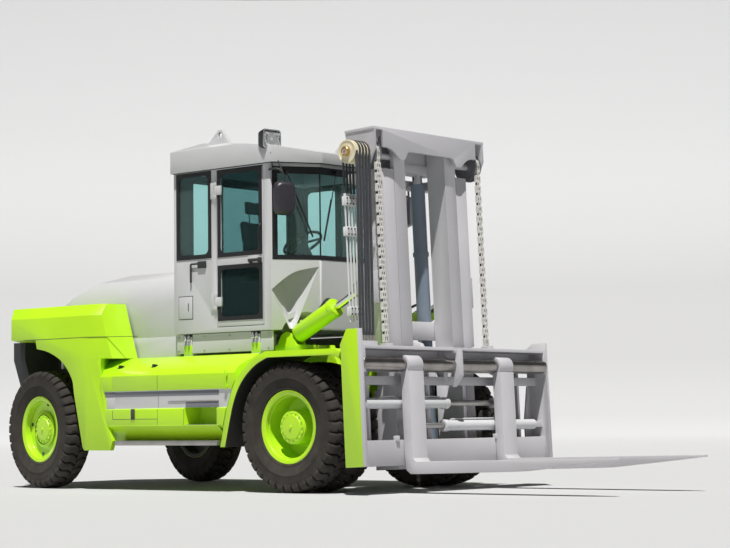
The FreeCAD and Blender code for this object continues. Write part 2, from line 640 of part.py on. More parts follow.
WINDOW_BACK = CAB_BACK + 60
WINDOW_FRONT = DOOR_BACK - 95
REAR_GLASS_HALF = 720.0
MID = CAB_WALL / 2
openings = []
panes = []
side_window = box(WINDOW_BACK, WINDOW_FRONT, CAB_HALF - CAB_WALL - 5, CAB_HALF + 5,
                  SIDE_SILL_Z, GLASS_TOP + 20)
doorway = box(DOOR_BACK - DOOR_GAP, DOOR_FRONT + DOOR_GAP, CAB_HALF - CAB_WALL - 20, CAB_HALF + 5,
              DOOR_LOW - DOOR_GAP, DOOR_TOP + DOOR_GAP)
corner_window = corner_block(45, corner_len - 30, -10, CAB_WALL + 10, SILL_Z, GLASS_TOP)
openings += both(side_window) + both(doorway) + both(corner_window)
front_half = CAB_NOSE_HALF - 30
openings.append(box(CAB_NOSE - CAB_WALL - 5, CAB_NOSE + 5, -front_half, front_half, SILL_Z, GLASS_TOP))
openings.append(box(CAB_BACK - 5, CAB_BACK + CAB_WALL + 5, -REAR_GLASS_HALF, REAR_GLASS_HALF, SIDE_SILL_Z,
                    GLASS_TOP))
for cutter in openings:
    shell = shell.cut(cutter)
for hinge in cab_hinges():
    shell = fuse([shell] + both(hinge))
keep("cab_shell", shell)

g0, g1 = MID - GLASS_T / 2, MID + GLASS_T / 2
panes += both(box(WINDOW_BACK, WINDOW_FRONT, CAB_HALF - g1, CAB_HALF - g0, SIDE_SILL_Z, GLASS_TOP + 20))
panes += both(corner_block(45, corner_len - 30, g0, g1, SILL_Z, GLASS_TOP))
panes.append(box(CAB_NOSE - g1, CAB_NOSE - g0, -front_half, front_half, SILL_Z, GLASS_TOP))
panes.append(box(CAB_BACK + g0, CAB_BACK + g1, -REAR_GLASS_HALF, REAR_GLASS_HALF, SIDE_SILL_Z, GLASS_TOP))
keep("cab_glass", panes)

# roof with its sloping fascia and lifting eyes
roof_back, roof_front = CAB_BACK, CAB_NOSE + ROOF_OVER
roof_plan = [(roof_back, -ROOF_HALF), (CAB_SIDE_FRONT + 60, -ROOF_HALF), (roof_front, -CAB_NOSE_HALF - 25),
             (roof_front, CAB_NOSE_HALF + 25), (CAB_SIDE_FRONT + 60, ROOF_HALF), (roof_back, ROOF_HALF)]
ROOF_SKIN = 50.0


def roof_solid(drop, inset):
    side = [(roof_back + inset, CAB_TOP), (roof_back + inset, ROOF_EDGE_BACK - drop),
            (roof_back + 200, ROOF_CREST - drop), (roof_front - 260, ROOF_EDGE_FRONT + 60 - drop),
            (roof_front - inset, ROOF_EDGE_FRONT - drop), (roof_front - inset, CAB_TOP)]
    half = ROOF_HALF - inset
    cross = [(-half, CAB_TOP), (-half, ROOF_EDGE_BACK - drop), (-half + 260, ROOF_CREST - drop),
             (half - 260, ROOF_CREST - drop), (half, ROOF_EDGE_BACK - drop), (half, CAB_TOP)]
    body = slab_y(side, -ROOF_HALF, ROOF_HALF).common(slab_x(cross, roof_back, roof_front))
    return body.common(slab_z(roof_plan, CAB_TOP, EYE_TOP))


cavity = roof_solid(ROOF_SKIN, 95).common(slab_z(cab_plan(CAB_WALL + 30), CAB_TOP - 1, EYE_TOP))
roof = roof_solid(0, 0).cut(cavity)
eye_foot = ROOF_EDGE_BACK - 45
eye_plate = slab_y([(-1385, eye_foot), (-1385, eye_foot + 70), (-1205, EYE_TOP), (-1155, EYE_TOP),
                    (-1020, eye_foot + 55), (-1020, eye_foot)], 885, 907)
eye_plate = eye_plate.cut(rod_y(-1180, EYE_TOP - 55, 26, 800, 1000))
roof = fuse([roof] + both(eye_plate))
keep("cab_roof", roof)

# cab carriers: skirt plates and rubber-footed posts between deck and cab
mount_posts = []
for x in (-1690, -860):
    mount_posts.append(box(x, x + 120, 700, 930, 1190, CAB_FLOOR - 30))
    mount_posts.append(rod_z(x + 60, 815, 45, CAB_FLOOR - 35, CAB_FLOOR))
skirt_plate = box(-1790, -470, 905, 925, DECK_Z + 25, CAB_FLOOR - 6)
mounts = fuse(mount_posts + [skirt_plate])
keep("cab_mounts", both(mounts.cut(tank)))

# doors with their handles, and the glass they carry
for side, hand in ((-1, "right"), (1, "left")):
    leaf = box(DOOR_BACK, DOOR_FRONT, CAB_HALF - CAB_WALL, CAB_HALF, DOOR_LOW, DOOR_TOP)
    upper = (DOOR_BACK + 45, DOOR_FRONT - 40, SIDE_SILL_Z, GLASS_TOP)
    lower = (DOOR_BACK + 45, DOOR_FRONT - 40, 1680.0, 2180.0)
    glass = []
    for x0, x1, z0, z1 in (upper, lower):
        leaf = leaf.cut(box(x0, x1, CAB_HALF - CAB_WALL - 5, CAB_HALF + 5, z0, z1))
        glass.append(box(x0, x1, CAB_HALF - g1, CAB_HALF - g0, z0, z1))
    handle = box(DOOR_FRONT - 170, DOOR_FRONT - 50, CAB_HALF - 1, CAB_HALF + 35, 2215, 2270)
    hinge_y = CAB_HALF + HINGE_OUT
    knuckles = [rod_z(HINGE_X, hinge_y, HINGE_R, z, z + HINGE_H) for z in HINGE_Z]
    straps = [box(HINGE_X, DOOR_BACK + 70, CAB_HALF + DOOR_GAP / 2, hinge_y, z,
                  z + HINGE_H) for z in HINGE_Z]
    pads = [box(DOOR_BACK, DOOR_BACK + 70, CAB_HALF - 1, hinge_y, z, z + HINGE_H) for z in HINGE_Z]
    leaf = fuse([leaf, handle] + knuckles + straps + pads)
    leaf = leaf.cut(rod_z(HINGE_X, hinge_y, HINGE_PIN + 0.05, DOOR_LOW, DOOR_TOP))
    if side < 0:
        leaf = other_side(leaf)
        glass = [other_side(pane) for pane in glass]
    keep("cab_door_" + hand, leaf)
    keep("door_glass_" + hand, glass)

# ---------------------------------------------------------------- driver's place
SEAT_X = -1180.0
seat_base = fuse([box(SEAT_X - 200, SEAT_X + 200, -190, 190, CAB_FLOOR + CAB_WALL, 1960),
                  box(SEAT_X - 240, SEAT_X + 240, -230, 230, 1960, 1990)])
keep("seat_base", seat_base)
cushion = box(SEAT_X - 240, SEAT_X + 270, -245, 245, 1990.3, 2110)
backrest = slab_y([(SEAT_X - 240, 2111), (SEAT_X - 130, 2111), (SEAT_X - 230, 2820), (SEAT_X - 330, 2820)],
                  -235, 235)
keep("seat_cushions", fuse([cushion, backrest.fuse(box(SEAT_X - 240, SEAT_X - 130, -235, 235, 2100,
                                                       2112))]))
HAND_WHEEL_R = 200.0
column_foot = V(-420, 0, 2000)
column_top = V(-620, 0, 2330)
column_dir = (column_top - column_foot).normalize()
steer_ring = Part.makeTorus(HAND_WHEEL_R, 15, column_top, column_dir)
spokes = []
for k in range(3):
    a = math.radians(90 + 120 * k)
    side_dir = V(0, 1, 0) * math.cos(a) + column_dir.cross(V(0, 1, 0)) * math.sin(a)
    spokes.append(rod(column_top, column_top + side_dir * HAND_WHEEL_R, 12))
console = [box(-440, CAB_NOSE - CAB_WALL - 10, -230, 230, CAB_FLOOR + CAB_WALL, 2130),
           rod(column_foot, column_top, 40),
           rod(column_top - column_dir * 25, column_top + column_dir * 25, 45)]
keep("steering_console", fuse(console + [steer_ring] + spokes))

# ---------------------------------------------------------------- lamps and mirrors
lamp_x, lamp_y = -440.0, 905.0
lamp_z = ROOF_EDGE_BACK - 30
lamp = [box(lamp_x, lamp_x + 90, lamp_y - 70, lamp_y + 120, lamp_z, lamp_z + 185),
        box(lamp_x - 40, lamp_x, lamp_y - 10, lamp_y + 50, lamp_z - 5, lamp_z + 95),
        box(lamp_x - 40, lamp_x + 60, lamp_y - 10, lamp_y + 50, lamp_z - 115, lamp_z + 5)]
lamps = both(fuse(lamp).cut(roof))
mirror = [box(-330, -300, 985, 1165, 2585, 2905), rod_z(-345, 1010, 14, 2560, 3000),
          rod(V(-345, 1010, 2990), V(-430, 900, 2990), 14), box(-345, -330, 1000, 1020, 2700, 2800)]
keep("lamps_and_mirrors", lamps + both(fuse(mirror).cut(shell)))

# ---------------------------------------------------------------- outer mast
def channel(y0, y1, z0, z1, open_side):
    """Rail with its web on the far side from open_side (-1 opens towards the middle)."""
    web = box(RAIL_BACK, RAIL_FRONT, y1 - RAIL_WEB, y1, z0, z1) if open_side < 0 else \
        box(RAIL_BACK, RAIL_FRONT, y0, y0 + RAIL_WEB, z0, z1)
    back = box(RAIL_BACK, RAIL_BACK + RAIL_FLANGE, y0, y1, z0, z1)
    front = box(RAIL_FRONT - RAIL_FLANGE, RAIL_FRONT, y0, y1, z0, z1)
    return fuse([web, back, front])


outer_rail = channel(RAIL_SPLIT + RUN / 2, RAIL_OUT, RAIL_LOW, OUTER_TOP, -1)
doubler = box(RAIL_BACK, RAIL_FRONT, RAIL_OUT - 1, RAIL_OUT + DOUBLER, DOUBLER_LOW, OUTER_TOP)
foot = slab_y([(PIVOT_X - 75, PIVOT_Z - 60), (PIVOT_X - 75, PIVOT_Z + 60), (PIVOT_X, PIVOT_Z + 95),
               (RAIL_BACK - RUN, PIVOT_Z + 330), (RAIL_BACK - RUN, PIVOT_Z - 330), (PIVOT_X, PIVOT_Z - 90)],
              372, 432)
TIE_FRONT = RAIL_BACK - RUN
foot_web = box(TIE_FRONT - 40, TIE_FRONT, 372, RAIL_OUT, PIVOT_Z - 330, PIVOT_Z + 330)
rail_pads = [box(TIE_FRONT - 5, RAIL_BACK + 1, RAIL_SPLIT + RUN / 2, RAIL_OUT, z0, z1)
             for z0, z1 in ((PIVOT_Z - 330, PIVOT_Z + 330), (RAIL_LOW, RAIL_LOW + 60), (1420, 1600))]
low_tie = box(RAIL_BACK - 60, TIE_FRONT, -RAIL_OUT, RAIL_OUT, RAIL_LOW, RAIL_LOW + 60)
mid_tie = box(RAIL_BACK - 28, TIE_FRONT, -RAIL_OUT, RAIL_OUT, 1420, 1600)
TOP_TIE_BACK = 330.0
top_tie = box(TOP_TIE_BACK, TOP_TIE_BACK + 60, -RAIL_OUT, RAIL_OUT, 2920, OUTER_TOP)
top_arm = box(TOP_TIE_BACK, RAIL_BACK + 1, RAIL_SPLIT + RUN / 2, RAIL_OUT, 2920, OUTER_TOP)
lift_clamp = box(TOP_TIE_BACK + 50, LIFT_X, LIFT_Y - 45, LIFT_Y + 45, 2925, 2955)
upright_angle = math.radians(-MAST_TILT)
dx, dz = TILT_EYE_X - PIVOT_X, TILT_EYE_Z - PIVOT_Z
lug_x = PIVOT_X + dx * math.cos(upright_angle) - dz * math.sin(upright_angle)
lug_z = PIVOT_Z + dx * math.sin(upright_angle) + dz * math.cos(upright_angle)
lug_face = RAIL_OUT + DOUBLER
lug = [(lug_x - 55, lug_z - 40), (lug_x - 55, lug_z + 40), (lug_x, lug_z + 62),
       (RAIL_BACK + 130, lug_z + 150),
       (RAIL_BACK + 130, lug_z - 150), (lug_x, lug_z - 62)]
lug_in_y, lug_out_y = TILT_Y - TILT_EYE_W / 2, TILT_Y + TILT_EYE_W / 2
lug_in = slab_y(lug, lug_in_y - 32, lug_in_y - 3)
lug_out = slab_y(lug, lug_out_y + 3, lug_out_y + 32)
lug_base = box(RAIL_BACK + 50, RAIL_BACK + 130, lug_face - 1, lug_out_y + 32, lug_z - 150, lug_z + 150)
lug_pin = rod_y(lug_x, lug_z, TILT_PIN_R, lug_in_y - 32, lug_out_y + 32)
CHAIN_ANCHOR = 2330.0
anchor = box(RAIL_BACK + 10, RAIL_BACK + 90, lug_face - 1, CHAIN_Y + CHAIN_W / 2 + 8,
             CHAIN_ANCHOR - 60, CHAIN_ANCHOR)
parts = []
for part in (outer_rail, doubler, foot, foot_web, *rail_pads, top_arm, lift_clamp, lug_in, lug_out,
             lug_base, lug_pin, anchor):
    parts.extend(both(part))
outer_mast = fuse(parts + [low_tie, mid_tie, top_tie])
pivot_bore = rod_y(PIVOT_X, PIVOT_Z, PIVOT_R + FIT, 300, 500)
lift_bore = rod_z(LIFT_X, LIFT_Y, LIFT_R, 2900, 3020)
for cutter in both(pivot_bore) + both(lift_bore):
    outer_mast = outer_mast.cut(cutter)
lift_shelf = both(box(LIFT_X - 80, RAIL_BACK - 55, LIFT_Y - 80, LIFT_Y + 80, RAIL_LOW, LIFT_LOW - 10))
outer_mast = fuse([outer_mast] + lift_shelf)
keep("outer_mast", outer_mast, mast=True)

barrels = []
for side in (-1, 1):
    body = rod_z(LIFT_X, side * LIFT_Y, LIFT_R, LIFT_LOW - 10, LIFT_TOP)
    neck = rod_z(LIFT_X, side * LIFT_Y, LIFT_R + 9, 2250, 2290)
    bore = rod_z(LIFT_X, side * LIFT_Y, LIFT_ROD_R + FIT, LIFT_LOW + 60, LIFT_TOP + 5)
    barrels.append(fuse([body, neck]).cut(bore).cut(outer_mast))
keep("lift_barrels", barrels, mast=True)

# ---------------------------------------------------------------- inner mast
INNER_LOW = 230.0
inner_rail = channel(RAIL_IN, RAIL_SPLIT - RUN / 2, INNER_LOW, HEAD_TOP - HEAD_PLATE, 1)
head_plate = box(HEAD_BACK, HEAD_FRONT, -HEAD_HALF - HEAD_LIP, HEAD_HALF + HEAD_LIP, HEAD_TOP - HEAD_PLATE,
                 HEAD_TOP)
cheek = slab_y([(HEAD_BACK, HEAD_TOP), (HEAD_FRONT, HEAD_TOP), (HEAD_FRONT, HEAD_TOP - 200),
                (HEAD_FRONT - 90, 3002), (HEAD_FRONT - 150, 3002), (HEAD_BACK + 40, HEAD_TOP - 190),
                (HEAD_BACK, HEAD_TOP - 60)], HEAD_HALF - HEAD_PLATE, HEAD_HALF)
PLATE_HALF = 700.0
right_edge = [(-PLATE_HALF, HEAD_TOP)] + flowing(
    [(-PLATE_HALF, ARCH_Z + 12), (-LOBE_Y - 206, ARCH_Z + 14), (-LOBE_Y - 126, ARCH_Z - 8),
     (-LOBE_Y - 66, ARCH_Z - 50),
     (-LOBE_Y - 20, LOBE_Z), (-LOBE_Y + 34, LOBE_Z), (-LOBE_Y + 62, LOBE_Z + 25), (-LOBE_Y + 82, ARCH_Z - 20),
     (-ARCH_HALF, ARCH_Z)], 2)
front = slab_x(right_edge + [(-y, z) for y, z in reversed(right_edge)], HEAD_FRONT - HEAD_PLATE, HEAD_FRONT)
CROSSHEAD_LOW, CROSSHEAD_TOP = 3050.0, 3130.0
crosshead = box(LIFT_X - 75, RAIL_BACK + 1, -RAIL_SPLIT, RAIL_SPLIT, CROSSHEAD_LOW, CROSSHEAD_TOP)
head_wall = box(HEAD_BACK, HEAD_BACK + 40, -RAIL_SPLIT, RAIL_SPLIT, CROSSHEAD_LOW, HEAD_TOP)
inner_tie_low = box(RAIL_BACK, RAIL_BACK + 24, -RAIL_IN - 5, RAIL_IN + 5, 1000, 1130)
axle_pin = rod_y(SHEAVE_X, SHEAVE_Z, SHEAVE_PIN, RAIL_IN, HEAD_HALF + HOSE_ROLLS * HOSE_PITCH + 40)
pin_left = rod_y(SHEAVE_X, SHEAVE_Z, SHEAVE_PIN, RAIL_IN, HEAD_HALF)
rib = box(RAIL_FRONT - 1, HEAD_FRONT - HEAD_PLATE + 1, RAIL_IN, RAIL_SPLIT - RUN / 2, ARCH_Z + 40,
          HEAD_TOP - 5)
inner_mast = fuse(both(inner_rail) + both(cheek) + both(rib) +
                  [head_plate, front, crosshead, head_wall, inner_tie_low, other_side(axle_pin), pin_left])
keep("inner_mast", inner_mast, mast=True)

LIFT_ROD_LOW = 1100.0
lift_rods = [rod_z(LIFT_X, side * LIFT_Y, LIFT_ROD_R, LIFT_ROD_LOW, CROSSHEAD_LOW) for side in (-1, 1)]
keep("lift_rods", lift_rods, mast=True)

groove = CHAIN_W / 2 + 2
sheave_profile = [(SHEAVE_PIN + FIT, -groove - 10), (SHEAVE_R + 28, -groove - 10), (SHEAVE_R + 28, -groove),
                  (SHEAVE_R - CHAIN_T / 2, -groove), (SHEAVE_R - CHAIN_T / 2, groove), (SHEAVE_R + 28, groove),
                  (SHEAVE_R + 28, groove + 10), (SHEAVE_PIN + FIT, groove + 10)]
sheaves = [turned(sheave_profile, SHEAVE_X, side * CHAIN_Y, SHEAVE_Z, V(0, 1, 0)) for side in (-1, 1)]
ROLL_FLOOR = HOSE_ROLL_R - 18
roll_profile = [(SHEAVE_PIN + FIT, 0)]
for k in range(HOSE_ROLLS):
    y = k * HOSE_PITCH
    roll_profile += [(HOSE_ROLL_R, y), (HOSE_ROLL_R, y + 8), (ROLL_FLOOR, y + 10),
                     (ROLL_FLOOR, y + HOSE_PITCH - 10), (HOSE_ROLL_R, y + HOSE_PITCH - 8)]
roll_profile += [(HOSE_ROLL_R, HOSE_ROLLS * HOSE_PITCH), (SHEAVE_PIN + FIT, HOSE_ROLLS * HOSE_PITCH)]
rolls = turned(roll_profile, SHEAVE_X, HEAD_HALF + 12, SHEAVE_Z, V(0, 1, 0))
keep("head_rollers", sheaves + [other_side(rolls)], mast=True)

# ---------------------------------------------------------------- chains, hoses and pipes on the mast
CHAIN_END = CARR_TOP + 45
chain_x = SHEAVE_X + SHEAVE_R
front_chain = box(chain_x - CHAIN_T / 2, chain_x + CHAIN_T / 2, CHAIN_Y - CHAIN_W / 2,
                  CHAIN_Y + CHAIN_W / 2,
                  CHAIN_END + FIT, SHEAVE_Z)
keep("chains_front", both(front_chain), mast=True)
back_x = SHEAVE_X - SHEAVE_R
WRAP_STEPS = 8


def wrap_arc(radius):
    """Chain's half turn over its sheave, as chords."""
    angles = [math.pi * k / WRAP_STEPS for k in range(WRAP_STEPS + 1)]
    return [(SHEAVE_X + radius * math.cos(a), SHEAVE_Z + radius * math.sin(a)) for a in angles]


wrap_in = (SHEAVE_R - CHAIN_T / 2 + FIT) / math.cos(math.pi / WRAP_STEPS / 2)
wrap = slab_y(wrap_arc(SHEAVE_R + CHAIN_T / 2) + wrap_arc(wrap_in)[::-1], CHAIN_Y - CHAIN_W / 2,
              CHAIN_Y + CHAIN_W / 2)
back_chain = box(back_x - CHAIN_T / 2, back_x + CHAIN_T / 2 - 1, CHAIN_Y - CHAIN_W / 2,
                 CHAIN_Y + CHAIN_W / 2,
                 CHAIN_ANCHOR + FIT, SHEAVE_Z)
keep("chains_back", both(fuse([wrap, back_chain])), mast=True)

hose_first = HEAD_HALF + 12 + HOSE_PITCH / 2
hose_x_front = SHEAVE_X + ROLL_FLOOR + HOSE_R
hose_x_back = SHEAVE_X - ROLL_FLOOR - HOSE_R
PIPE_TOP = 2760.0
PIPE_R = 9.0
HOSE_END_Z = CARR_TOP + 60
HOSE_DRIFT = 60.0
fronts, backs, pipes = [], [], []
for k in range(HOSE_ROLLS - 1):
    y = hose_first + k * HOSE_PITCH
    fronts.append(rod(V(hose_x_front, -y - HOSE_DRIFT, HOSE_END_Z), V(hose_x_front, -y, SHEAVE_Z - 6),
                      HOSE_R))
    arch = rod_y(SHEAVE_X, SHEAVE_Z, ROLL_FLOOR + 2 * HOSE_R, -y - HOSE_R, -y + HOSE_R)
    arch = arch.cut(rod_y(SHEAVE_X, SHEAVE_Z, ROLL_FLOOR + FIT, -y - 100, -y + 100))
    arch = arch.cut(box(0, 2000, -2000, 0, 0, SHEAVE_Z))
    tail = rod_z(hose_x_back, -y, HOSE_R, PIPE_TOP + FIT, SHEAVE_Z)
    backs.append(fuse([arch, tail]))
    pipes.append(rod_z(hose_x_back, -y, PIPE_R, 1560, PIPE_TOP))
keep("hoses_front", fronts, mast=True)
keep("hoses_back", backs, mast=True)
CLAMP_Z = (1680.0, 2395.0, 2630.0)
CLAMP_BACK = 556.0
pipe_first = hose_first - 25
pipe_last = hose_first + (HOSE_ROLLS - 2) * HOSE_PITCH + 25
clamps = []
for z in CLAMP_Z:
    clamps.append(box(CLAMP_BACK, hose_x_back + 26, -pipe_last, -pipe_first, z - 35, z + 35))
    clamps.append(box(CLAMP_BACK, RAIL_BACK + 12, -pipe_last, -RAIL_OUT, z - 12, z + 12))
pipe_set = fuse(clamps + pipes).cut(outer_mast)
keep("mast_pipes", pipe_set, mast=True)

# ---------------------------------------------------------------- carriage
INNER_FACE = CARR_HALF - CARR_PLATE
side_plate = slab_y([(CARR_BACK, CARR_LOW), (CARR_FRONT, CARR_LOW), (CARR_FRONT, CARR_HORN),
                     (CARR_BACK + CARR_HORN_CUT, CARR_HORN + 5), (CARR_BACK - 5, CARR_TOP + 16),
                     (CARR_BACK, CARR_TOP - 42)], INNER_FACE, CARR_HALF)
TOP_PLATE_T = 30.0
top_plate = box(870, CARR_FRONT - 2, -INNER_FACE - 1, INNER_FACE + 1, CARR_TOP - TOP_PLATE_T, CARR_TOP)
back_web = box(870, 905, -INNER_FACE - 1, INNER_FACE + 1, 1085, CARR_TOP)
mid_bar = box(925, 965, -INNER_FACE - 1, INNER_FACE + 1, 960, 1040)
low_rail = box(990, FORK_BACK - 5, -INNER_FACE - 1, INNER_FACE + 1, CARR_LOW, LOW_RAIL_Z)
low_shelf = box(870, FORK_BACK - 5, -INNER_FACE - 1, INNER_FACE + 1, CARR_LOW, CARR_LOW + 25)
UP_IN, UP_OUT = RAIL_IN - 52, RAIL_IN - RUN
upright = slab_y([(RAIL_FRONT - 190, 260), (900, 230), (925, 230), (925, 1040), (905, 1100),
                  (905, CARR_TOP),
                  (880, 1480), (RAIL_FRONT - 10, 1600), (RAIL_FRONT - 90, 1620), (RAIL_FRONT - 190, 1560)],
                 UP_IN, UP_OUT)
centre_hook = slab_y([(870, CARR_TOP - 5), (1103, CARR_TOP - 5), (SHAFT_X + 95, SHAFT_Z + 60),
                      (SHAFT_X + 95, SHAFT_Z - 60), (SHAFT_X - 20, SHAFT_Z - 150), (925, 975),
                      (870, 1090)], -75, -15)
shaft_ends = both(box(SHAFT_X - 75, SHAFT_X + 45, INNER_FACE - 30, INNER_FACE + 1, SHAFT_Z - 75, CARR_TOP))
pos_feet = []
for z, s in ((POS_UP_Z, -1), (POS_LOW_Z, 1)):
    y0, y1 = sorted((s * POS_FOOT, s * (INNER_FACE + 1)))
    pos_feet.append(box(POS_X - 35, POS_X + 35, y0, y1, z - 30, z + 30))
stiffeners = []
for y in (UP_IN, INNER_FACE - 260):
    stiffeners.extend(both(box(880, 928, y, y + 30, CARR_LOW, 1090)))
chain_lug = both(box(chain_x - 30, 905, CHAIN_Y - 40, CHAIN_Y + 40, CARR_TOP - 60, CHAIN_END))
hose_shelf = box(hose_x_front - 30, 905, -1260, -940, CARR_TOP - 20, HOSE_END_Z - 1)
carriage = fuse(both(side_plate) + both(upright) + shaft_ends + pos_feet + stiffeners + chain_lug +
                [top_plate, back_web, mid_bar, low_rail, low_shelf, centre_hook, hose_shelf])
shaft = rod_y(SHAFT_X, SHAFT_Z, SHAFT_R, -INNER_FACE + 5, INNER_FACE - 5)
carriage = carriage.cut(shaft)
keep("carriage_frame", carriage, mast=True)
keep("fork_shaft", shaft, mast=True)

POS_UP_END = -90.0
POS_LOW_END = -140.0


def positioner(z, s, end, rod_to):
    """Barrel from its foot at one side plate to its gland, and a rod on to the far fork's lug."""
    near = s * POS_FOOT
    body = span_y(POS_X, z, POS_R, near, end)
    gland = span_y(POS_X, z, POS_R + 7, end, end + s * 40)
    bore = span_y(POS_X, z, POS_ROD_R + FIT, near - s * 80, end - s * 1)
    barrel = fuse([body, gland]).cut(bore)
    piston_rod = span_y(POS_X, z, POS_ROD_R, end + s * 520, rod_to)
    return barrel.cut(carriage), piston_rod


fork_lug_y = FORK_Y - 70
up_barrel, up_rod = positioner(POS_UP_Z, -1, POS_UP_END, fork_lug_y)
low_barrel, low_rod = positioner(POS_LOW_Z, 1, POS_LOW_END, -fork_lug_y)
keep("positioner_barrels", [up_barrel, low_barrel], mast=True)


def fork(lug_z):
    front_x = FORK_BACK + FORK_T
    outline = [(FORK_BACK, FORK_HEEL_Z + 60), (FORK_BACK, 1080), (front_x, 1080),
               (front_x, FORK_HEEL_Z + 35),
               (front_x + 35, FORK_HEEL_Z), (FORK_TIP, FORK_TIP_Z), (FORK_TIP, FORK_TIP_Z - FORK_EDGE),
               (FORK_TAPER, FORK_HEEL_Z - FORK_BLADE - 20), (front_x + 60, FORK_HEEL_Z - FORK_BLADE),
               (FORK_BACK + 60, FORK_HEEL_Z - FORK_BLADE + 4), (FORK_BACK + 12,
                                                                FORK_HEEL_Z - FORK_BLADE + 40)]
    y0, y1 = FORK_Y - FORK_W / 2, FORK_Y + FORK_W / 2
    blade = slab_y(outline, y0, y1)
    tip = [(0, y0), (FORK_TIP - 330, y0), (FORK_TIP - 40, FORK_Y - 55), (FORK_TIP + 1, FORK_Y - 35),
           (FORK_TIP + 1, FORK_Y + 35), (FORK_TIP - 40, FORK_Y + 55), (FORK_TIP - 330, y1), (0, y1)]
    blade = blade.common(slab_z(tip, 0, 2000))
    knuckle = rod_y(SHAFT_X, SHAFT_Z, FORK_KNUCKLE_R, y0 + 2, y1 - 2)
    lug_a = box(POS_X - 30, FORK_BACK + 5, fork_lug_y, fork_lug_y + 40, lug_z - 45, lug_z + 45)
    return fuse([blade, knuckle, lug_a]).cut(rod_y(SHAFT_X, SHAFT_Z, SHAFT_R + FIT, 0, 2000))


keep("fork_left", fuse([fork(POS_UP_Z), up_rod]), mast=True)
keep("fork_right", fuse([other_side(fork(POS_LOW_Z)), low_rod]), mast=True)

# ---------------------------------------------------------------- tilt cylinders
tilt_len = (tilt_b - tilt_a).Length
for side, hand in ((-1, "right"), (1, "left")):
    eye = rod_y(TILT_BACK_X, TILT_BACK_Z, 58, TILT_Y - TILT_EYE_W / 2, TILT_Y + TILT_EYE_W / 2)
    body = rod(tilt_a + tilt_dir * 100, tilt_a + tilt_dir * TILT_BARREL, TILT_R)
    neck = rod(tilt_a, tilt_a + tilt_dir * 110, 34)
    bore = rod(tilt_a + tilt_dir * 150, tilt_a + tilt_dir * (TILT_BARREL + 5), TILT_ROD_R + FIT)
    barrel = fuse([eye, body, neck]).cut(bore)
    barrel = barrel.cut(rod_y(TILT_BACK_X, TILT_BACK_Z, TILT_PIN_R + FIT, 0, 2000))
    stem = rod(tilt_a + tilt_dir * 430, tilt_b, TILT_ROD_R)
    far_eye = rod_y(TILT_EYE_X, TILT_EYE_Z, 58, TILT_Y - TILT_EYE_W / 2, TILT_Y + TILT_EYE_W / 2)
    stem = fuse([stem, far_eye]).cut(rod_y(TILT_EYE_X, TILT_EYE_Z, TILT_PIN_R + EYE_SLACK, 0, 2000))
    if side < 0:
        barrel, stem = other_side(barrel), other_side(stem)
    keep("tilt_barrel_" + hand, barrel)
    keep("tilt_rod_" + hand, stem)

print(len(made), "nodes, X shift", round(SHIFT_X, 3))
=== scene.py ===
"""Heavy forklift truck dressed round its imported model. Metres, +X to the fork tips, +Z up."""
import json
import math
import random

import bpy
from mathutils import Matrix, Vector


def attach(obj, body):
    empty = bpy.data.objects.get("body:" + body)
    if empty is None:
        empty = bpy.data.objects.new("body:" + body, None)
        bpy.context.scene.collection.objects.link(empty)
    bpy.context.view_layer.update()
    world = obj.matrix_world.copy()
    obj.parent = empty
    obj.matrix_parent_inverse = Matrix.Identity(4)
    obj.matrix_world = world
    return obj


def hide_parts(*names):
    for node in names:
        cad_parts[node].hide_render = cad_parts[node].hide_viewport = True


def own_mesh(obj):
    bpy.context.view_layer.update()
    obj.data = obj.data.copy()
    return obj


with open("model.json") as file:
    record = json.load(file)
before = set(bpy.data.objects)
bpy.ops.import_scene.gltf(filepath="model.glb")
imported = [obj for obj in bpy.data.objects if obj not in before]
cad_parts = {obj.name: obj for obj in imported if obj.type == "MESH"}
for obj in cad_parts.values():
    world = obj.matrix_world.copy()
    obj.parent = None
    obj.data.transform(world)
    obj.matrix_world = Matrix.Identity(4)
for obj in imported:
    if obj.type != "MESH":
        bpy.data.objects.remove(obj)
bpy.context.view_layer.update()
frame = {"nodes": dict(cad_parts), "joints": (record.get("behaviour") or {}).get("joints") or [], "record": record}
random.seed(7)

# ---- Workshop helpers: selection, edit mode, applied modifiers, skins and joined pieces.
def deselect():
    if bpy.context.mode != "OBJECT":
        bpy.ops.object.mode_set(mode="OBJECT")
    bpy.ops.object.select_all(action="DESELECT")


def new_object(name, data):
    obj = bpy.data.objects.new(name, data)
    bpy.context.scene.collection.objects.link(obj)
    return obj


def active(obj):
    deselect()
    obj.select_set(True)
    bpy.context.view_layer.objects.active = obj
    return obj


def edit_all(obj, *steps):
    """Steps run in edit mode, each with all of the object selected."""
    active(obj)
    bpy.ops.object.mode_set(mode="EDIT")
    for step in steps:
        bpy.ops.mesh.select_all(action="SELECT")
        step()
    bpy.ops.object.mode_set(mode="OBJECT")
    return obj


def face_outward(obj):
    return edit_all(obj, bpy.ops.mesh.normals_make_consistent)


def applied(obj, kind, **settings):
    """Object shaped by a modifier that is applied at once."""
    active(obj)
    modifier = obj.modifiers.new("shaping", kind)
    for setting, value in settings.items():
        setattr(modifier, setting, value)
    bpy.ops.object.modifier_apply(modifier=modifier.name)
    return obj


def smooth_within(obj, degrees):
    active(obj)
    bpy.ops.object.shade_smooth_by_angle(angle=math.radians(degrees))
    return obj


def skin_of(name, points, faces, edges=()):
    mesh = bpy.data.meshes.new(name)
    mesh.from_pydata(points, list(edges), faces)
    return active(new_object(name, mesh))


def prism(name, near, far):
    """Closed solid between two outlines of as many points."""
    n = len(near)
    faces = [tuple(range(n)), tuple(range(2 * n - 1, n - 1, -1))]
    faces += [(k, (k + 1) % n, n + (k + 1) % n, n + k) for k in range(n)]
    return face_outward(skin_of(name, [*near, *far], faces))


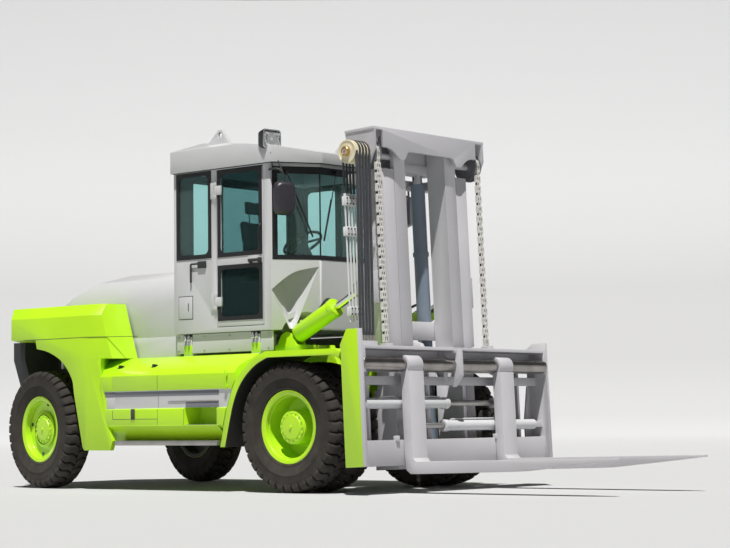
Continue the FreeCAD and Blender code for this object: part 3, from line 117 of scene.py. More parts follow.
def joined(name, parts):
    deselect()
    for part in parts:
        part.select_set(True)
    bpy.context.view_layer.objects.active = parts[0]
    if len(parts) > 1:
        bpy.ops.object.join()
    parts[0].name = name
    return parts[0]


def copy_of(obj, matrix):
    """Copy with its own mesh, placed by moving the mesh."""
    twin = new_object(obj.name, obj.data.copy())
    twin.data.transform(matrix)
    return twin


def mirrored(obj):
    """Copy on the other side of the truck, its faces still outwards."""
    return edit_all(copy_of(obj, Matrix.Scale(-1, 4, (0, 1, 0))), bpy.ops.mesh.flip_normals)


def mirrored_pair(name, parts):
    """Right-hand parts joined, with a left-hand copy across the truck."""
    one = joined(name, parts)
    return joined(name, [one, mirrored(one)])


def cut_from(piece, tool):
    """Piece with the tool's shape taken out of it."""
    applied(piece, "BOOLEAN", operation="DIFFERENCE", object=tool, solver="EXACT")
    bpy.data.objects.remove(tool)


# ---- Camera: a long lens near the ground, off the right front corner, looking slightly up.
CAM_AZ, CAM_EL, CAM_ROLL = math.radians(40.978), math.radians(-4.111), math.radians(-0.69)
camera_data = bpy.data.cameras.new("camera")
camera_data.lens, camera_data.sensor_width = 99.46, 36.0
camera = new_object("camera", camera_data)
ahead = Vector((-math.sin(CAM_AZ) * math.cos(CAM_EL), math.cos(CAM_AZ) * math.cos(CAM_EL), -math.sin(CAM_EL)))
level = Vector((math.cos(CAM_AZ), math.sin(CAM_AZ), 0))
upward = level.cross(ahead)
right = level * math.cos(CAM_ROLL) + upward * math.sin(CAM_ROLL)
upward = upward * math.cos(CAM_ROLL) - level * math.sin(CAM_ROLL)
camera.matrix_world = Matrix((right, upward, -ahead)).transposed().to_4x4()
camera.location = (13.4511, -14.9396, 0.6804)
bpy.context.scene.camera = camera

# ---- Studio: a pale floor that sweeps up into a far wall, soft sky light and one soft sun.
def node_material(name):
    """New material with its node tree, its tree and its main shader."""
    mat = bpy.data.materials.new(name)
    mat.use_nodes = True
    return mat, mat.node_tree, mat.node_tree.nodes["Principled BSDF"]


def add_node(tree, kind, inputs=None, **settings):
    """New shader node with its settings; an input that is given a socket is linked to it."""
    node = tree.nodes.new("ShaderNode" + kind)
    for setting, value in settings.items():
        setattr(node, setting, value)
    for name, value in (inputs or {}).items():
        if isinstance(value, bpy.types.NodeSocket):
            tree.links.new(value, node.inputs[name])
        else:
            node.inputs[name].default_value = value
    return node


deselect()
FLOOR_R, WALL_R, WALL_H, SWEEP_STEPS = 46.0, 60.0, 3.5, 12
SWEEP_R = WALL_R - FLOOR_R
bpy.ops.mesh.primitive_circle_add(vertices=96, radius=FLOOR_R, fill_type="NGON")
floor = bpy.context.object
floor.name = "floor"
bpy.ops.object.mode_set(mode="EDIT")
bpy.ops.mesh.select_mode(type="EDGE")
bpy.ops.mesh.select_all(action="SELECT")
bpy.ops.mesh.region_to_loop()
for step in range(SWEEP_STEPS):
    start, end = (math.pi / 2 * k / SWEEP_STEPS for k in (step, step + 1))
    rise = SWEEP_R * (math.cos(start) - math.cos(end))
    spread = (FLOOR_R + SWEEP_R * math.sin(end)) / (FLOOR_R + SWEEP_R * math.sin(start))
    bpy.ops.mesh.extrude_edges_move(TRANSFORM_OT_translate={"value": (0, 0, rise)})
    bpy.ops.transform.resize(value=(spread, spread, 1))
bpy.ops.mesh.extrude_edges_move(TRANSFORM_OT_translate={"value": (0, 0, WALL_H)})
bpy.ops.object.mode_set(mode="OBJECT")
bpy.ops.object.shade_smooth()
floor_mat, tree, floor_bsdf = node_material("pale_floor")
place = add_node(tree, "TexCoord").outputs["Object"]
height = add_node(tree, "SeparateXYZ", {"Vector": place}).outputs["Z"]
share = add_node(tree, "Math", {0: height, 1: SWEEP_R}, operation="DIVIDE").outputs["Value"]
# The colour by height is painted light and shade: darker on the lower curve of the sweep and lighter up the wall, to
# even out how the sun and sky light the backdrop.
sweep = add_node(tree, "ValToRGB", {"Fac": share})
near_end, far_end = sweep.color_ramp.elements
near_end.color, far_end.color = (0.500, 0.506, 0.518, 1), (0.735, 0.745, 0.765, 1)
for place, shade in ((0.05, 0.4460), (0.20, 0.4120), (0.40, 0.4410), (0.70, 0.6100)):
    sweep.color_ramp.elements.new(place).color = (shade * 0.992, shade * 1.004, shade * 1.035, 1)
tree.links.new(sweep.outputs["Color"], floor_bsdf.inputs["Base Color"])
floor_bsdf.inputs["Roughness"].default_value = 0.9
floor.data.materials.append(floor_mat)

world = bpy.data.worlds.new("soft_sky")
world.use_nodes = True
world.node_tree.nodes["Background"].inputs["Color"].default_value = (0.93, 0.96, 1.0, 1)
world.node_tree.nodes["Background"].inputs["Strength"].default_value = 0.055
bpy.context.scene.world = world
bpy.context.scene.view_settings.view_transform = "Standard"
sun_data = bpy.data.lights.new("sun", "SUN")
sun_data.energy, sun_data.angle, sun_data.color = 5.02, math.radians(1.0), (1.0, 0.98, 0.94)
sun = new_object("sun", sun_data)
SUN_FROM = Vector((0.36, -0.43, 1.35))
sun.rotation_euler = SUN_FROM.to_track_quat("Z", "Y").to_euler()

# ---- Places shared by all pieces: the drive axle's line, and the mast's own upright frame.
node_names = frame["nodes"]
joint = {j["name"]: j for j in frame["joints"]}
AXLE_X, AXLE_Z = joint["front_wheel_right_spin"]["pos_m"][0], joint["front_wheel_right_spin"]["pos_m"][2]
rise_axis = Vector(joint["mast_lift"]["axis"])
pivot = Vector(joint["mast_tilt"]["pos_m"])
TILT = math.atan2(-rise_axis.x, rise_axis.z)
PIVOT_X = 0.320
LEAN = (Matrix.Translation(Vector((pivot.x, 0, pivot.z))) @ Matrix.Rotation(-TILT, 4, "Y")
        @ Matrix.Translation(Vector((-PIVOT_X, 0, -pivot.z))))


HANDS = ((-1, "right"), (1, "left"))


def on_mast(*point):
    return LEAN @ Vector(point)


def leaned(parts):
    """Parts made in the upright mast frame, set at the mast's own lean."""
    for part in parts:
        part.data.transform(LEAN)
    return parts


def from_axle(*places):
    """Places given from the drive axle, as the truck's own."""
    return [(AXLE_X + x, y, z) for x, y, z in places]


# ---- Paint: sprayed enamel over steel, a fine orange peel, faint tone changes and road dust low down.
DUST_FOOT, DUST_TOP, DUST_COLOUR = 0.1, 1.2, (0.32, 0.29, 0.25, 1)


def tone(tree, bsdf, colour, scale, spread, dust=0.0):
    """Colour that drifts a little over the surface, with dust gathered low down; gives the place's socket."""
    place = add_node(tree, "TexCoord").outputs["Object"]
    noise = add_node(tree, "TexNoise", {"Scale": scale, "Detail": 6, "Vector": place}).outputs["Fac"]
    ramp = add_node(tree, "ValToRGB", {"Fac": noise})
    for end, position, shift in zip(ramp.color_ramp.elements, (0.3, 0.7), (1 - spread, 1 + spread)):
        end.position, end.color = position, (*(min(1.0, c * shift) for c in colour), 1)
    out = ramp.outputs["Color"]
    if dust:
        height = add_node(tree, "SeparateXYZ", {"Vector": place}).outputs["Z"]
        low = add_node(tree, "MapRange", {"From Min": DUST_FOOT, "From Max": DUST_TOP, "To Min": dust, "To Max": 0.0,
                                          "Value": height}).outputs["Result"]
        speck = add_node(tree, "Math", {0: low, 1: noise}, operation="MULTIPLY").outputs["Value"]
        out = add_node(tree, "Mix", {"B": DUST_COLOUR, "Factor": speck, "A": out}, data_type="RGBA").outputs["Result"]
    tree.links.new(out, bsdf.inputs["Base Color"])
    return place


def grain(tree, bsdf, place, scale, strength):
    """Fine bumps all over the surface."""
    noise = add_node(tree, "TexNoise", {"Scale": scale, "Vector": place}).outputs["Fac"]
    bump = add_node(tree, "Bump", {"Strength": strength, "Distance": 0.001, "Height": noise})
    tree.links.new(bump.outputs["Normal"], bsdf.inputs["Normal"])


def set_inputs(node, inputs):
    for name, value in inputs.items():
        node.inputs[name].default_value = value


def finish_material(name, colour, rough, metal=0.0, spread=0.04, scale=1.5, dust=0.0, peel=(180, 0.06), coat=0.0):
    mat, tree, bsdf = node_material(name)
    grain(tree, bsdf, tone(tree, bsdf, colour, scale, spread, dust), *peel)
    set_inputs(bsdf, {"Roughness": rough, "Metallic": metal, "Coat Weight": coat, "Coat Roughness": 0.15})
    return mat


LIME = (0.4496, 0.7696, 0.0103)
MATERIALS = {slot: finish_material(name, colour, rough, **more) for slot, name, colour, rough, more in (
    ("lime_paint", "lime_enamel", LIME, 0.38, dict(spread=0.05, dust=0.05, coat=0.35)),
    ("cast_ballast", "lime_casting", LIME, 0.42, dict(spread=0.06, peel=(60, 0.12), coat=0.3)),
    ("grey_paint", "grey_enamel", (0.5542, 0.5586, 0.5762), 0.42, dict(spread=0.04, dust=0.10, coat=0.25)),
    ("mast_paint", "mast_enamel", (0.5163, 0.5122, 0.5409), 0.45, dict(spread=0.06, dust=0.15, coat=0.15)),
    ("cylinder_paint", "slate_enamel", (0.1864, 0.2286, 0.2888), 0.35, dict(spread=0.08, coat=0.3)),
    ("dark_iron", "dark_iron", (0.0263, 0.0278, 0.0301), 0.6, dict(spread=0.15, dust=0.5, peel=(90, 0.2))),
    ("steel", "worn_steel", (0.42, 0.41, 0.40), 0.4, dict(metal=0.85, spread=0.12, scale=8)),
    ("chrome", "hard_chrome", (0.75, 0.76, 0.78), 0.12, dict(metal=1.0, spread=0.02, scale=20, peel=(300, 0.01))),
    ("tyre_rubber", "tyre_rubber", (0.0195, 0.0158, 0.0128), 0.85,
     dict(spread=0.35, scale=9, dust=0.13, peel=(220, 0.3))),
    ("hose_rubber", "hose_rubber", (0.0451, 0.0487, 0.0577), 0.42, dict(spread=0.15, scale=30, peel=(400, 0.15))),
    ("seat_fabric", "seat_cloth", (0.0263, 0.0271, 0.0301), 0.95, dict(spread=0.3, scale=120, peel=(700, 0.5))),
    ("black_plastic", "black_plastic", (0.0075, 0.0083, 0.0105), 0.45,
     dict(spread=0.1, scale=10, peel=(500, 0.1))),
    ("roller_plastic", "cream_nylon", (0.6745, 0.6226, 0.4496), 0.45, dict(spread=0.06, scale=14)),
)}


def tinted_glass(name, tint):
    """Green safety glass, tinted through its thickness."""
    mat, tree, bsdf = node_material(name)
    tone(tree, bsdf, tint, 0.6, 0.04)
    set_inputs(bsdf, {"Roughness": 0.03, "Transmission Weight": 0.93, "IOR": 1.04, "Specular IOR Level": 0.7})
    return mat


MATERIALS["cab_window"] = tinted_glass("tinted_glass", (0.62, 0.87, 0.86))
for entry in frame["record"]["subparts"]:
    mesh = node_names[entry["node"]].data
    mesh.materials.clear()
    mesh.materials.append(MATERIALS[entry["material_slot"]])
# The door panes take a darker tint than the other panes: painted shade for the dark cab and seat seen through them.
door_shade_tint = tinted_glass("door_glass_tint", (0.18, 0.33, 0.34))
for hand in ("right", "left"):
    node_names["door_glass_" + hand].data.materials[0] = door_shade_tint


# ---- Plate work: every welded or cast part has its edges ground and painted round, never knife sharp.
def edge_rounded(obj, width, segments=2, angle=30):
    applied(obj, "BEVEL", width=width, segments=segments, limit_method="ANGLE", angle_limit=math.radians(angle),
            harden_normals=False)
    return smooth_within(obj, 40)


def body_of(node):
    for body, members in frame["record"]["behaviour"]["bodies"].items():
        if node in members:
            return body


def rounded_copy(node, width):
    """Copy of a node with welded doubles and rounded edges, which stands for it."""
    piece = new_object(node + "_finished", node_names[node].data.copy())
    edit_all(piece, lambda: bpy.ops.mesh.remove_doubles(threshold=0.00005),
             lambda: bpy.ops.mesh.dissolve_limited(angle_limit=math.radians(1.0)))
    edge_rounded(piece, width)
    piece["stands_for"] = node
    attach(piece, body_of(node))
    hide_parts(node)
    return piece


ROUNDED = {
    "counterweight": 0.016, "counterweight_lower": 0.012, "engine_hood": 0.02, "engine_cowl": 0.004,
    "side_tanks": 0.008, "step_rails": 0.003, "front_fenders": 0.006, "cab_shell": 0.010, "cab_roof": 0.010,
    "cab_mounts": 0.003, "cab_door_right": 0.008, "cab_door_left": 0.008, "outer_mast": 0.004,
    "inner_mast": 0.004, "carriage_frame": 0.004, "fork_right": 0.013, "fork_left": 0.013,
    "chassis_frame": 0.004, "steer_axle": 0.006, "seat_base": 0.01,
    "steering_console": 0.008, "engine_block": 0.01, "front_axle": 0.006,
}
finished = {node: rounded_copy(node, width) for node, width in ROUNDED.items()}

# ---- Tyres: heavy cross-ply rock tyres, moulded black rubber on demountable rims. Blocky lugs run from
# both shoulders to a zigzag groove in the middle, and the sidewall carries a rim guard and two beads.
TYRE_R, TYRE_HALF, RIM_R = AXLE_Z, 0.150, 0.343
LUGS, LUG_DEPTH, LUG_FILL = 36, 0.034, 0.74
FRONT_Y, TWIN_PITCH = abs(joint["front_wheel_right_spin"]["pos_m"][1]), 0.345


def spun(name, profile, steps=96, closed=False):
    """Outline of (radius, along Y) points spun about the Y axis into a smooth skin."""
    count = len(profile)
    edges = [(i, i + 1) for i in range(count - 1)] + ([(count - 1, 0)] if closed else [])
    obj = skin_of(name, [(0, y, r) for r, y in profile], [], edges)
    edit_all(obj, lambda: bpy.ops.mesh.spin(steps=steps, angle=math.tau, center=(0, 0, 0), axis=(0, 1, 0)),
             lambda: bpy.ops.mesh.remove_doubles(threshold=0.0001), bpy.ops.mesh.normals_make_consistent)
    return smooth_within(obj, 35)


def lug(side):
    """One tread block: skewed, notched at the middle, its outer end rolled down over the shoulder."""
    bpy.ops.mesh.primitive_cube_add(size=2)
    block = bpy.context.object
    bpy.ops.object.mode_set(mode="EDIT")
    bpy.ops.mesh.subdivide(number_cuts=2)
    bpy.ops.object.mode_set(mode="OBJECT")
    half = math.pi / LUGS * LUG_FILL
    # along Y from the middle, top and root under the crown, and skew in half pitches
    rows = [(0.004, 0.0, 0.034, 0.55), (0.058, 0.001, 0.034, -0.10), (0.116, 0.010, 0.042, 0.10),
            (0.1475, 0.046, 0.086, 0.0)]
    for v in block.data.vertices:
        along, across, up = v.co
        y, top, root, skew = rows[min(3, round((across + 1) * 1.5))]
        width = half * (1.0 if up > 0.5 else 1.12)
        angle = along * width + math.pi / LUGS * skew
        radius = TYRE_R - (top + (root - top) * (1 - up) / 2)
        v.co = (radius * math.sin(angle), side * y, radius * math.cos(angle))
    return edge_rounded(face_outward(block), 0.0035, 1, 45)


def tyre():
    outline = [(RIM_R - 0.030, 0.100), (RIM_R - 0.002, 0.108), (RIM_R + 0.010, 0.124), (RIM_R + 0.022, 0.130),
               (RIM_R + 0.030, 0.128), (RIM_R + 0.055, 0.139), (RIM_R + 0.105, TYRE_HALF),
               (RIM_R + 0.112, TYRE_HALF + 0.003), (RIM_R + 0.120, TYRE_HALF), (RIM_R + 0.160, 0.1485),
               (TYRE_R - 0.080, 0.146), (TYRE_R - 0.064, 0.140), (TYRE_R - LUG_DEPTH - 0.008, 0.112),
               (TYRE_R - LUG_DEPTH, 0.070), (TYRE_R - LUG_DEPTH, 0.0)]
    other_half = [(r, -y) for r, y in reversed(outline[:-1])]
    parts = [spun("carcass", outline + other_half)]
    for side in (-1, 1):
        block, shift = lug(side), 0 if side < 0 else 0.5
        parts += [copy_of(block, Matrix.Rotation(math.tau * (k + shift) / LUGS, 4, "Y")) for k in range(LUGS)]
        bpy.data.objects.remove(block)
    return joined("tyre", parts)


def dress(obj, material, body, stands_for=()):
    """Material, body and slot of a finished piece."""
    obj.data.materials.clear()
    obj.data.materials.append(MATERIALS[material] if isinstance(material, str) else material)
    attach(obj, body)
    if stands_for:
        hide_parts(*stands_for)
    return obj


one_tyre = tyre()
wheel_place = {}
for side, hand in HANDS:
    spots = [Matrix.Translation((AXLE_X, side * (FRONT_Y - back), AXLE_Z)) for back in (0, TWIN_PITCH)]
    pair = joined("tyres_front_" + hand, [copy_of(one_tyre, spot @ Matrix.Rotation(0.05 * n, 4, "Y"))
                                          for n, spot in enumerate(spots)])
    dress(pair, "tyre_rubber", "front_wheel_" + hand, stands_for=["front_tyres_" + hand])
    spin_axis = Vector(joint["rear_wheel_" + hand + "_spin"]["axis"])
    centre = Vector(joint["rear_wheel_" + hand + "_spin"]["pos_m"])
    steer = Matrix.Rotation(math.atan2(-spin_axis.x, spin_axis.y), 4, "Z")
    wheel_place["front_" + hand], wheel_place["rear_" + hand] = spots[0], Matrix.Translation(centre) @ steer
    single = copy_of(one_tyre, wheel_place["rear_" + hand])
    single.name = "tyre_rear_" + hand
    dress(single, "tyre_rubber", "rear_wheel_" + hand, stands_for=["rear_tyre_" + hand])
bpy.data.objects.remove(one_tyre)


def fit(name, parts, material, body="chassis", stands_for=()):
    """Parts joined into one piece and dressed."""
    return dress(joined(name, parts), material, body, stands_for)


# ---- Rims: rolled steel barrels in lime enamel with a lock ring, a dished disc whose hand holes are shallow
# dark dents as painted shade, and a cast hub cover held by a ring of hexagon screws.
def hexagon(radius, height, centre, axis):
    """Screw head with a chamfered top, standing on centre."""
    bpy.ops.mesh.primitive_cylinder_add(vertices=6, radius=radius, depth=height, location=(0, 0, height / 2))
    head = active(bpy.context.object)
    bpy.ops.object.transform_apply()
    edge_rounded(head, radius * 0.12, 1)
    head.data.transform(Matrix.Translation(centre) @ Vector(axis).to_track_quat("Z", "Y").to_matrix().to_4x4())
    return head


def ring_of(count, radius, y, make, turn=0.0):
    """What make builds, at even steps round the wheel's axis."""
    angles = [math.tau * (k + turn) / count for k in range(count)]
    return [make(Vector((radius * math.sin(a), y, radius * math.cos(a)))) for a in angles]


HUB_FACE = 0.060


def rim_trim(disc, side):
    """Rings, screws and plug of one wheel about its centre; side is the way it looks."""
    def trim_ring(*outline, closed=False):
        return spun("trim", [(r, side * y) for r, y in outline], closed=closed)

    out = (0, side, 0)
    lock = trim_ring((RIM_R - 0.014, 0.116), (RIM_R - 0.006, 0.123), (RIM_R + 0.002, 0.120),
                     (RIM_R + 0.001, 0.108), (RIM_R - 0.016, 0.106), closed=True)
    bead = trim_ring((0.294, 0.070), (0.288, 0.066), (0.288, 0.056), (0.298, 0.052))
    cover = trim_ring((0.150, HUB_FACE + 0.001), (0.146, HUB_FACE + 0.010), (0.118, HUB_FACE + 0.012),
                      (0.112, HUB_FACE + 0.022), (0.060, HUB_FACE + 0.027), (0.0, HUB_FACE + 0.028))
    skirt = trim_ring((0.168, disc + 0.002), (0.176, disc + 0.004), (0.190, disc + 0.018), (0.162, disc + 0.030))
    screws = ring_of(16, 0.134, side * (HUB_FACE + 0.010), lambda c: hexagon(0.0095, 0.010, c, out))
    plug = hexagon(0.018, 0.012, Vector((0, side * (HUB_FACE + 0.027), 0)), out)
    return joined("trim", [lock, bead, cover, skirt, plug] + screws)


def hand_hole_shade(disc, side):
    """Four small round dents pressed into the disc, dark as painted shade for the hand holes."""
    outline = [(0.020, side * (disc + 0.0035)), (0.017, side * (disc + 0.002)), (0.0, side * (disc + 0.0018))]

    def mark(place):
        hole = spun("hole", outline, 20)
        hole.data.transform(Matrix.Translation(place))
        return hole

    return joined("hole", ring_of(4, 0.262, 0.0, mark, 0.12))


for side, hand in HANDS:
    for axle, disc in (("front", -TWIN_PITCH / 2 + 0.024), ("rear", 0.044)):
        for piece, name, paint in ((rim_trim(disc, side), "_rim_trim_", "lime_paint"),
                                   (hand_hole_shade(disc, side), "_hand_holes_", "dark_iron")):
            piece.data.transform(wheel_place[axle + "_" + hand])
            piece.name = axle + name + hand
            dress(piece, paint, axle + "_wheel_" + hand)
    rounded_copy("front_rims_" + hand, 0.004)
    finished["rear_rim_" + hand] = rounded_copy("rear_rim_" + hand, 0.004)


# ---- Leaf chains: rows of hardened link plates on riveted pins in oiled steel, with a black strip down the
# middle of each front strand as painted shade between the plates. The front strand shortens as the
# carriage climbs to the head sheave; the wrap and rear strand stay with the inner mast.
PITCH, PLATE_T, CHAIN_WIDE, PLATE_HALF, PIN_R = 0.050, 0.0105, 0.066, 0.0152, 0.0075
OUTER_PLATES, INNER_PLATES = (-0.0270, 0.0, 0.0270), (-0.0130, 0.0130)
SHEAVE_X, SHEAVE_Z, SHEAVE_R, CHAIN_Y = 0.735, 3.135, 0.113, 0.758
CHAIN_LOW, CHAIN_ANCHOR = 1.352, 2.330
chain_steel = finish_material("chain_steel", (0.74, 0.73, 0.70), 0.42, metal=0.25, spread=0.15, scale=40)


def plate_box(low, high, edge=0.003):
    """Sheet or block between two corners with its edges broken."""
    low, high = Vector(low), Vector(high)
    bpy.ops.mesh.primitive_cube_add(size=1, location=(low + high) / 2)
    block = active(bpy.context.object)
    block.scale = high - low
    bpy.ops.object.transform_apply()
    return edge_rounded(block, min(edge, min(high - low) * 0.45))


def disc_along_y(vertices, radius, depth):
    bpy.ops.mesh.primitive_cylinder_add(vertices=vertices, radius=radius, depth=depth, rotation=(math.pi / 2, 0, 0))
    disc = active(bpy.context.object)
    bpy.ops.object.transform_apply()
    return disc


def link_plate():
    """Waisted plate from one pin to the next, along Z, with its thickness along Y."""
    plate = disc_along_y(12, PLATE_HALF, PLATE_T)
    for v in plate.data.vertices:
        v.co.z = v.co.z * 0.95 + (PITCH if v.co.z > 0.001 else 0)
        if 0.2 * PITCH < v.co.z < 0.8 * PITCH:
            v.co.x *= 0.72
    return plate


def chain_through(name, pins):
    """Link plates between pins given as (x, z) in the upright mast frame, at both sides."""
    plate, pin = link_plate(), edge_rounded(disc_along_y(10, PIN_R, CHAIN_WIDE), 0.002, 1)
    parts = []
    for i, (start, end) in enumerate(zip(pins, pins[1:])):
        run = Vector((end[0] - start[0], 0, end[1] - start[1]))
        turn = Matrix.Rotation(math.atan2(run.x, run.z), 4, "Y")
        at = Matrix.Translation(Vector((start[0], 0, start[1])))
        for y in INNER_PLATES if i % 2 else OUTER_PLATES:
            parts.append(copy_of(plate, at @ Matrix.Translation(Vector((0, y, 0))) @ turn))
        parts.append(copy_of(pin, at))
    one = joined(name, parts)
    both_sides = [copy_of(one, LEAN @ Matrix.Translation(Vector((0, side * CHAIN_Y, 0)))) for side in (-1, 1)]
    for spare in (one, plate, pin):
        bpy.data.objects.remove(spare)
    return joined(name, both_sides)


def run_of(x, low, high):
    count = max(1, round((high - low) / PITCH))
    return [(x, low + (high - low) * k / count) for k in range(count + 1)]


STRAND_X, STRAND_FOOT, CORE_T, CORE_HALF, WRAP_STEPS = SHEAVE_X + SHEAVE_R, CHAIN_LOW + 0.02, 0.006, 0.031, 8
front_chain = chain_through("leaf_chain_front", run_of(STRAND_X, STRAND_FOOT, SHEAVE_Z))
# A black strip down the middle of each front strand: painted shade for the dark gaps between the link plates.
chain_gap_shade = finish_material("chain_grease", (0.0060, 0.0060, 0.0075), 0.45, spread=0.2, scale=30)
cores = [plate_box((STRAND_X - CORE_T, side * CHAIN_Y - CORE_HALF, STRAND_FOOT),
                   (STRAND_X + CORE_T, side * CHAIN_Y + CORE_HALF, SHEAVE_Z), 0.002) for side in (-1, 1)]
chain_core = fit("chain_core", leaned(cores), chain_gap_shade, "mast_inner")
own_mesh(chain_core)
dress(front_chain, chain_steel, "mast_inner", stands_for=["chains_front"])
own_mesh(front_chain)
angles = [math.pi * k / WRAP_STEPS for k in range(WRAP_STEPS + 1)]
over = [(SHEAVE_X + SHEAVE_R * math.cos(a), SHEAVE_Z + SHEAVE_R * math.sin(a)) for a in angles]
behind = run_of(SHEAVE_X - SHEAVE_R, CHAIN_ANCHOR + 0.02, SHEAVE_Z)[-2::-1]
rear_chain = chain_through("leaf_chain_rear", over + behind)
dress(rear_chain, chain_steel, "mast_inner", stands_for=["chains_back"])


# ---- Head wheels: flanged iron chain sheaves, and on the right a bank of cream nylon hose wheels on
# brass bushes, all on one greased pin through the head.
def placed_on_mast(obj, x, y, z):
    obj.data.transform(LEAN @ Matrix.Translation(Vector((x, y, z))))
    return obj


head_parts = []
for side in (-1, 1):
    wheel = spun("sheave", [(0.026, -0.038), (0.050, -0.038), (0.056, -0.033), (0.106, -0.033), (0.112, -0.038),
                            (0.140, -0.038), (0.141, -0.030), (0.094, -0.027), (0.091, -0.022), (0.091, 0.022),
                            (0.094, 0.027), (0.141, 0.030), (0.140, 0.038), (0.112, 0.038), (0.106, 0.033),
                            (0.056, 0.033), (0.050, 0.038), (0.026, 0.038)], 64, closed=True)
    head_parts.append(placed_on_mast(wheel, SHEAVE_X, side * CHAIN_Y, SHEAVE_Z))
sheave_grey = finish_material("sheave_grey", (0.1504, 0.1504, 0.1654), 0.45, spread=0.15, scale=9, dust=0.2)
fit("chain_sheaves", head_parts, sheave_grey, "mast_inner", stands_for=["head_rollers"])
brass = finish_material("hub_brass", (0.55, 0.34, 0.10), 0.35, metal=0.8, spread=0.1, scale=20)
HOSE_PITCH, HOSE_FIRST, HOSE_R = 0.044, 0.860, 0.0135
rolls, bushes = [], []
for k in range(5):
    y = -(HOSE_FIRST - HOSE_PITCH / 2 + k * HOSE_PITCH)
    roll = spun("roll", [(0.036, -0.0015), (0.060, -0.0015), (0.064, -0.005), (0.092, -0.005), (0.096, -0.001),
                         (0.108, -0.001), (0.110, -0.004), (0.109, -0.007), (0.094, -0.012), (0.092, -0.022),
                         (0.094, -0.032), (0.109, -0.037), (0.110, -0.040), (0.108, -0.043), (0.096, -0.043),
                         (0.092, -0.039), (0.064, -0.039), (0.060, -0.0425), (0.036, -0.0425)], 56, closed=True)
    rolls.append(placed_on_mast(roll, SHEAVE_X, y, SHEAVE_Z))
    bush = spun("bush", [(0.0, -0.0005), (0.024, -0.0005), (0.027, -0.002), (0.036, -0.002), (0.036, -0.042),
                         (0.027, -0.042), (0.024, -0.0435), (0.0, -0.0435)], 40)
    bushes.append(placed_on_mast(bush, SHEAVE_X, y, SHEAVE_Z))
fit("hose_wheels", rolls, "roller_plastic", "mast_inner")
cap = spun("bush", [(0.0, -0.030), (0.014, -0.030), (0.016, -0.024), (0.030, -0.024), (0.034, -0.033),
                    (0.041, -0.033), (0.045, -0.028), (0.045, 0.0)], 40)
bushes.append(placed_on_mast(cap, SHEAVE_X, -1.0585, SHEAVE_Z))
fit("hose_wheel_bushes", bushes, brass, "mast_inner")

# ---- Mast hoses and pipes: five rubber pressure hoses hang from the hose wheels with crimped ferrules
# at the foot, and four white steel pipes carry on down the outer rail in split clamp blocks.
HOSE_FOOT, HOSE_DRIFT, HOSE_X, PIPE_X, PIPES = 1.367, 0.060, 0.838, 0.632, 4


def line_mesh(name, points, steps, radius=0.0, sides=4):
    """Mesh of a smooth NURBS line, bare or as a round tube with closed ends."""
    curve = bpy.data.curves.new(name, "CURVE")
    if radius:
        curve.dimensions, curve.bevel_depth, curve.bevel_resolution = "3D", radius, sides
        curve.use_fill_caps = True
    line = curve.splines.new("NURBS")
    line.points.add(len(points) - 1)
    for point, place in zip(line.points, points):
        point.co = (*place, 1)
    line.order_u, line.use_endpoint_u, line.resolution_u = 3, True, steps
    bent = new_object(name, curve)
    mesh = bpy.data.meshes.new_from_object(bent.evaluated_get(bpy.context.evaluated_depsgraph_get()))
    bpy.data.objects.remove(bent)
    return mesh


def tube(name, points, radius, sides=4):
    """Round hose along a smooth line through the points."""
    return smooth_within(new_object(name, line_mesh(name, points, 8, radius, sides)), 50)


front_hoses, ferrules, pipes, nuts = [], [], [], []
for k in range(5):
    y, foot_y = -HOSE_FIRST - k * HOSE_PITCH, -HOSE_FIRST - k * HOSE_PITCH - HOSE_DRIFT
    sway = random.uniform(-0.004, 0.004)
    run = ((0.0, foot_y, HOSE_FOOT), (0.0, foot_y, 1.46), (sway, (y + foot_y) / 2, 2.2), (0.0, y, 2.95),
           (0.0, y, SHEAVE_Z - 0.004))
    front_hoses.append(tube("hose", [on_mast(HOSE_X + x, across, z) for x, across, z in run], HOSE_R))
    ferrules += [tube("ferrule", [on_mast(HOSE_X, foot_y, HOSE_FOOT + z) for z in (0, tall)], radius)
                 for tall, radius in ((0.055, 0.0145), (0.018, 0.018))]
    if k < PIPES:
        pipes.append(tube("pipe", [on_mast(PIPE_X, y, z) for z in (1.56, 2.758)], 0.009))
        nuts.append(tube("nut", [on_mast(PIPE_X, y, z) for z in (2.715, 2.760)], 0.0145, 2))
hoses = fit("mast_hoses_front", front_hoses, "hose_rubber", "mast_inner", stands_for=["hoses_front"])
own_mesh(hoses)
fit("hose_ferrules", ferrules, "steel", "carriage")
pipe_white = finish_material("pipe_white", (0.6497, 0.6587, 0.6677), 0.35, spread=0.05, scale=12, coat=0.2)
fit("pipe_run", pipes, pipe_white, "mast_outer", stands_for=["mast_pipes"])
blocks, clamp_heads = [], []
CLAMP_Y, CLAMP_Z = HOSE_PITCH * 0.94, 0.044
for z in (1.660, 2.405, 2.690):
    for y in (-HOSE_FIRST - HOSE_PITCH / 2, -HOSE_FIRST - HOSE_PITCH * 2.5):
        for back, front in ((0.606, 0.6315), (0.6325, 0.658)):
            blocks.append(plate_box((back, y - CLAMP_Y, z - CLAMP_Z), (front, y + CLAMP_Y, z + CLAMP_Z), 0.006))
    clamp_heads += [hexagon(0.0080, 0.009, Vector((0.657, -HOSE_FIRST - k * HOSE_PITCH, z + dz)), (1, 0, 0))
                    for k in range(PIPES) for dz in (-0.026, 0.026)]
fit("clamp_screws", leaned(clamp_heads), "dark_iron", "mast_outer")
fit("pipe_clamps", leaned(blocks) + nuts, pipe_white, "mast_outer")

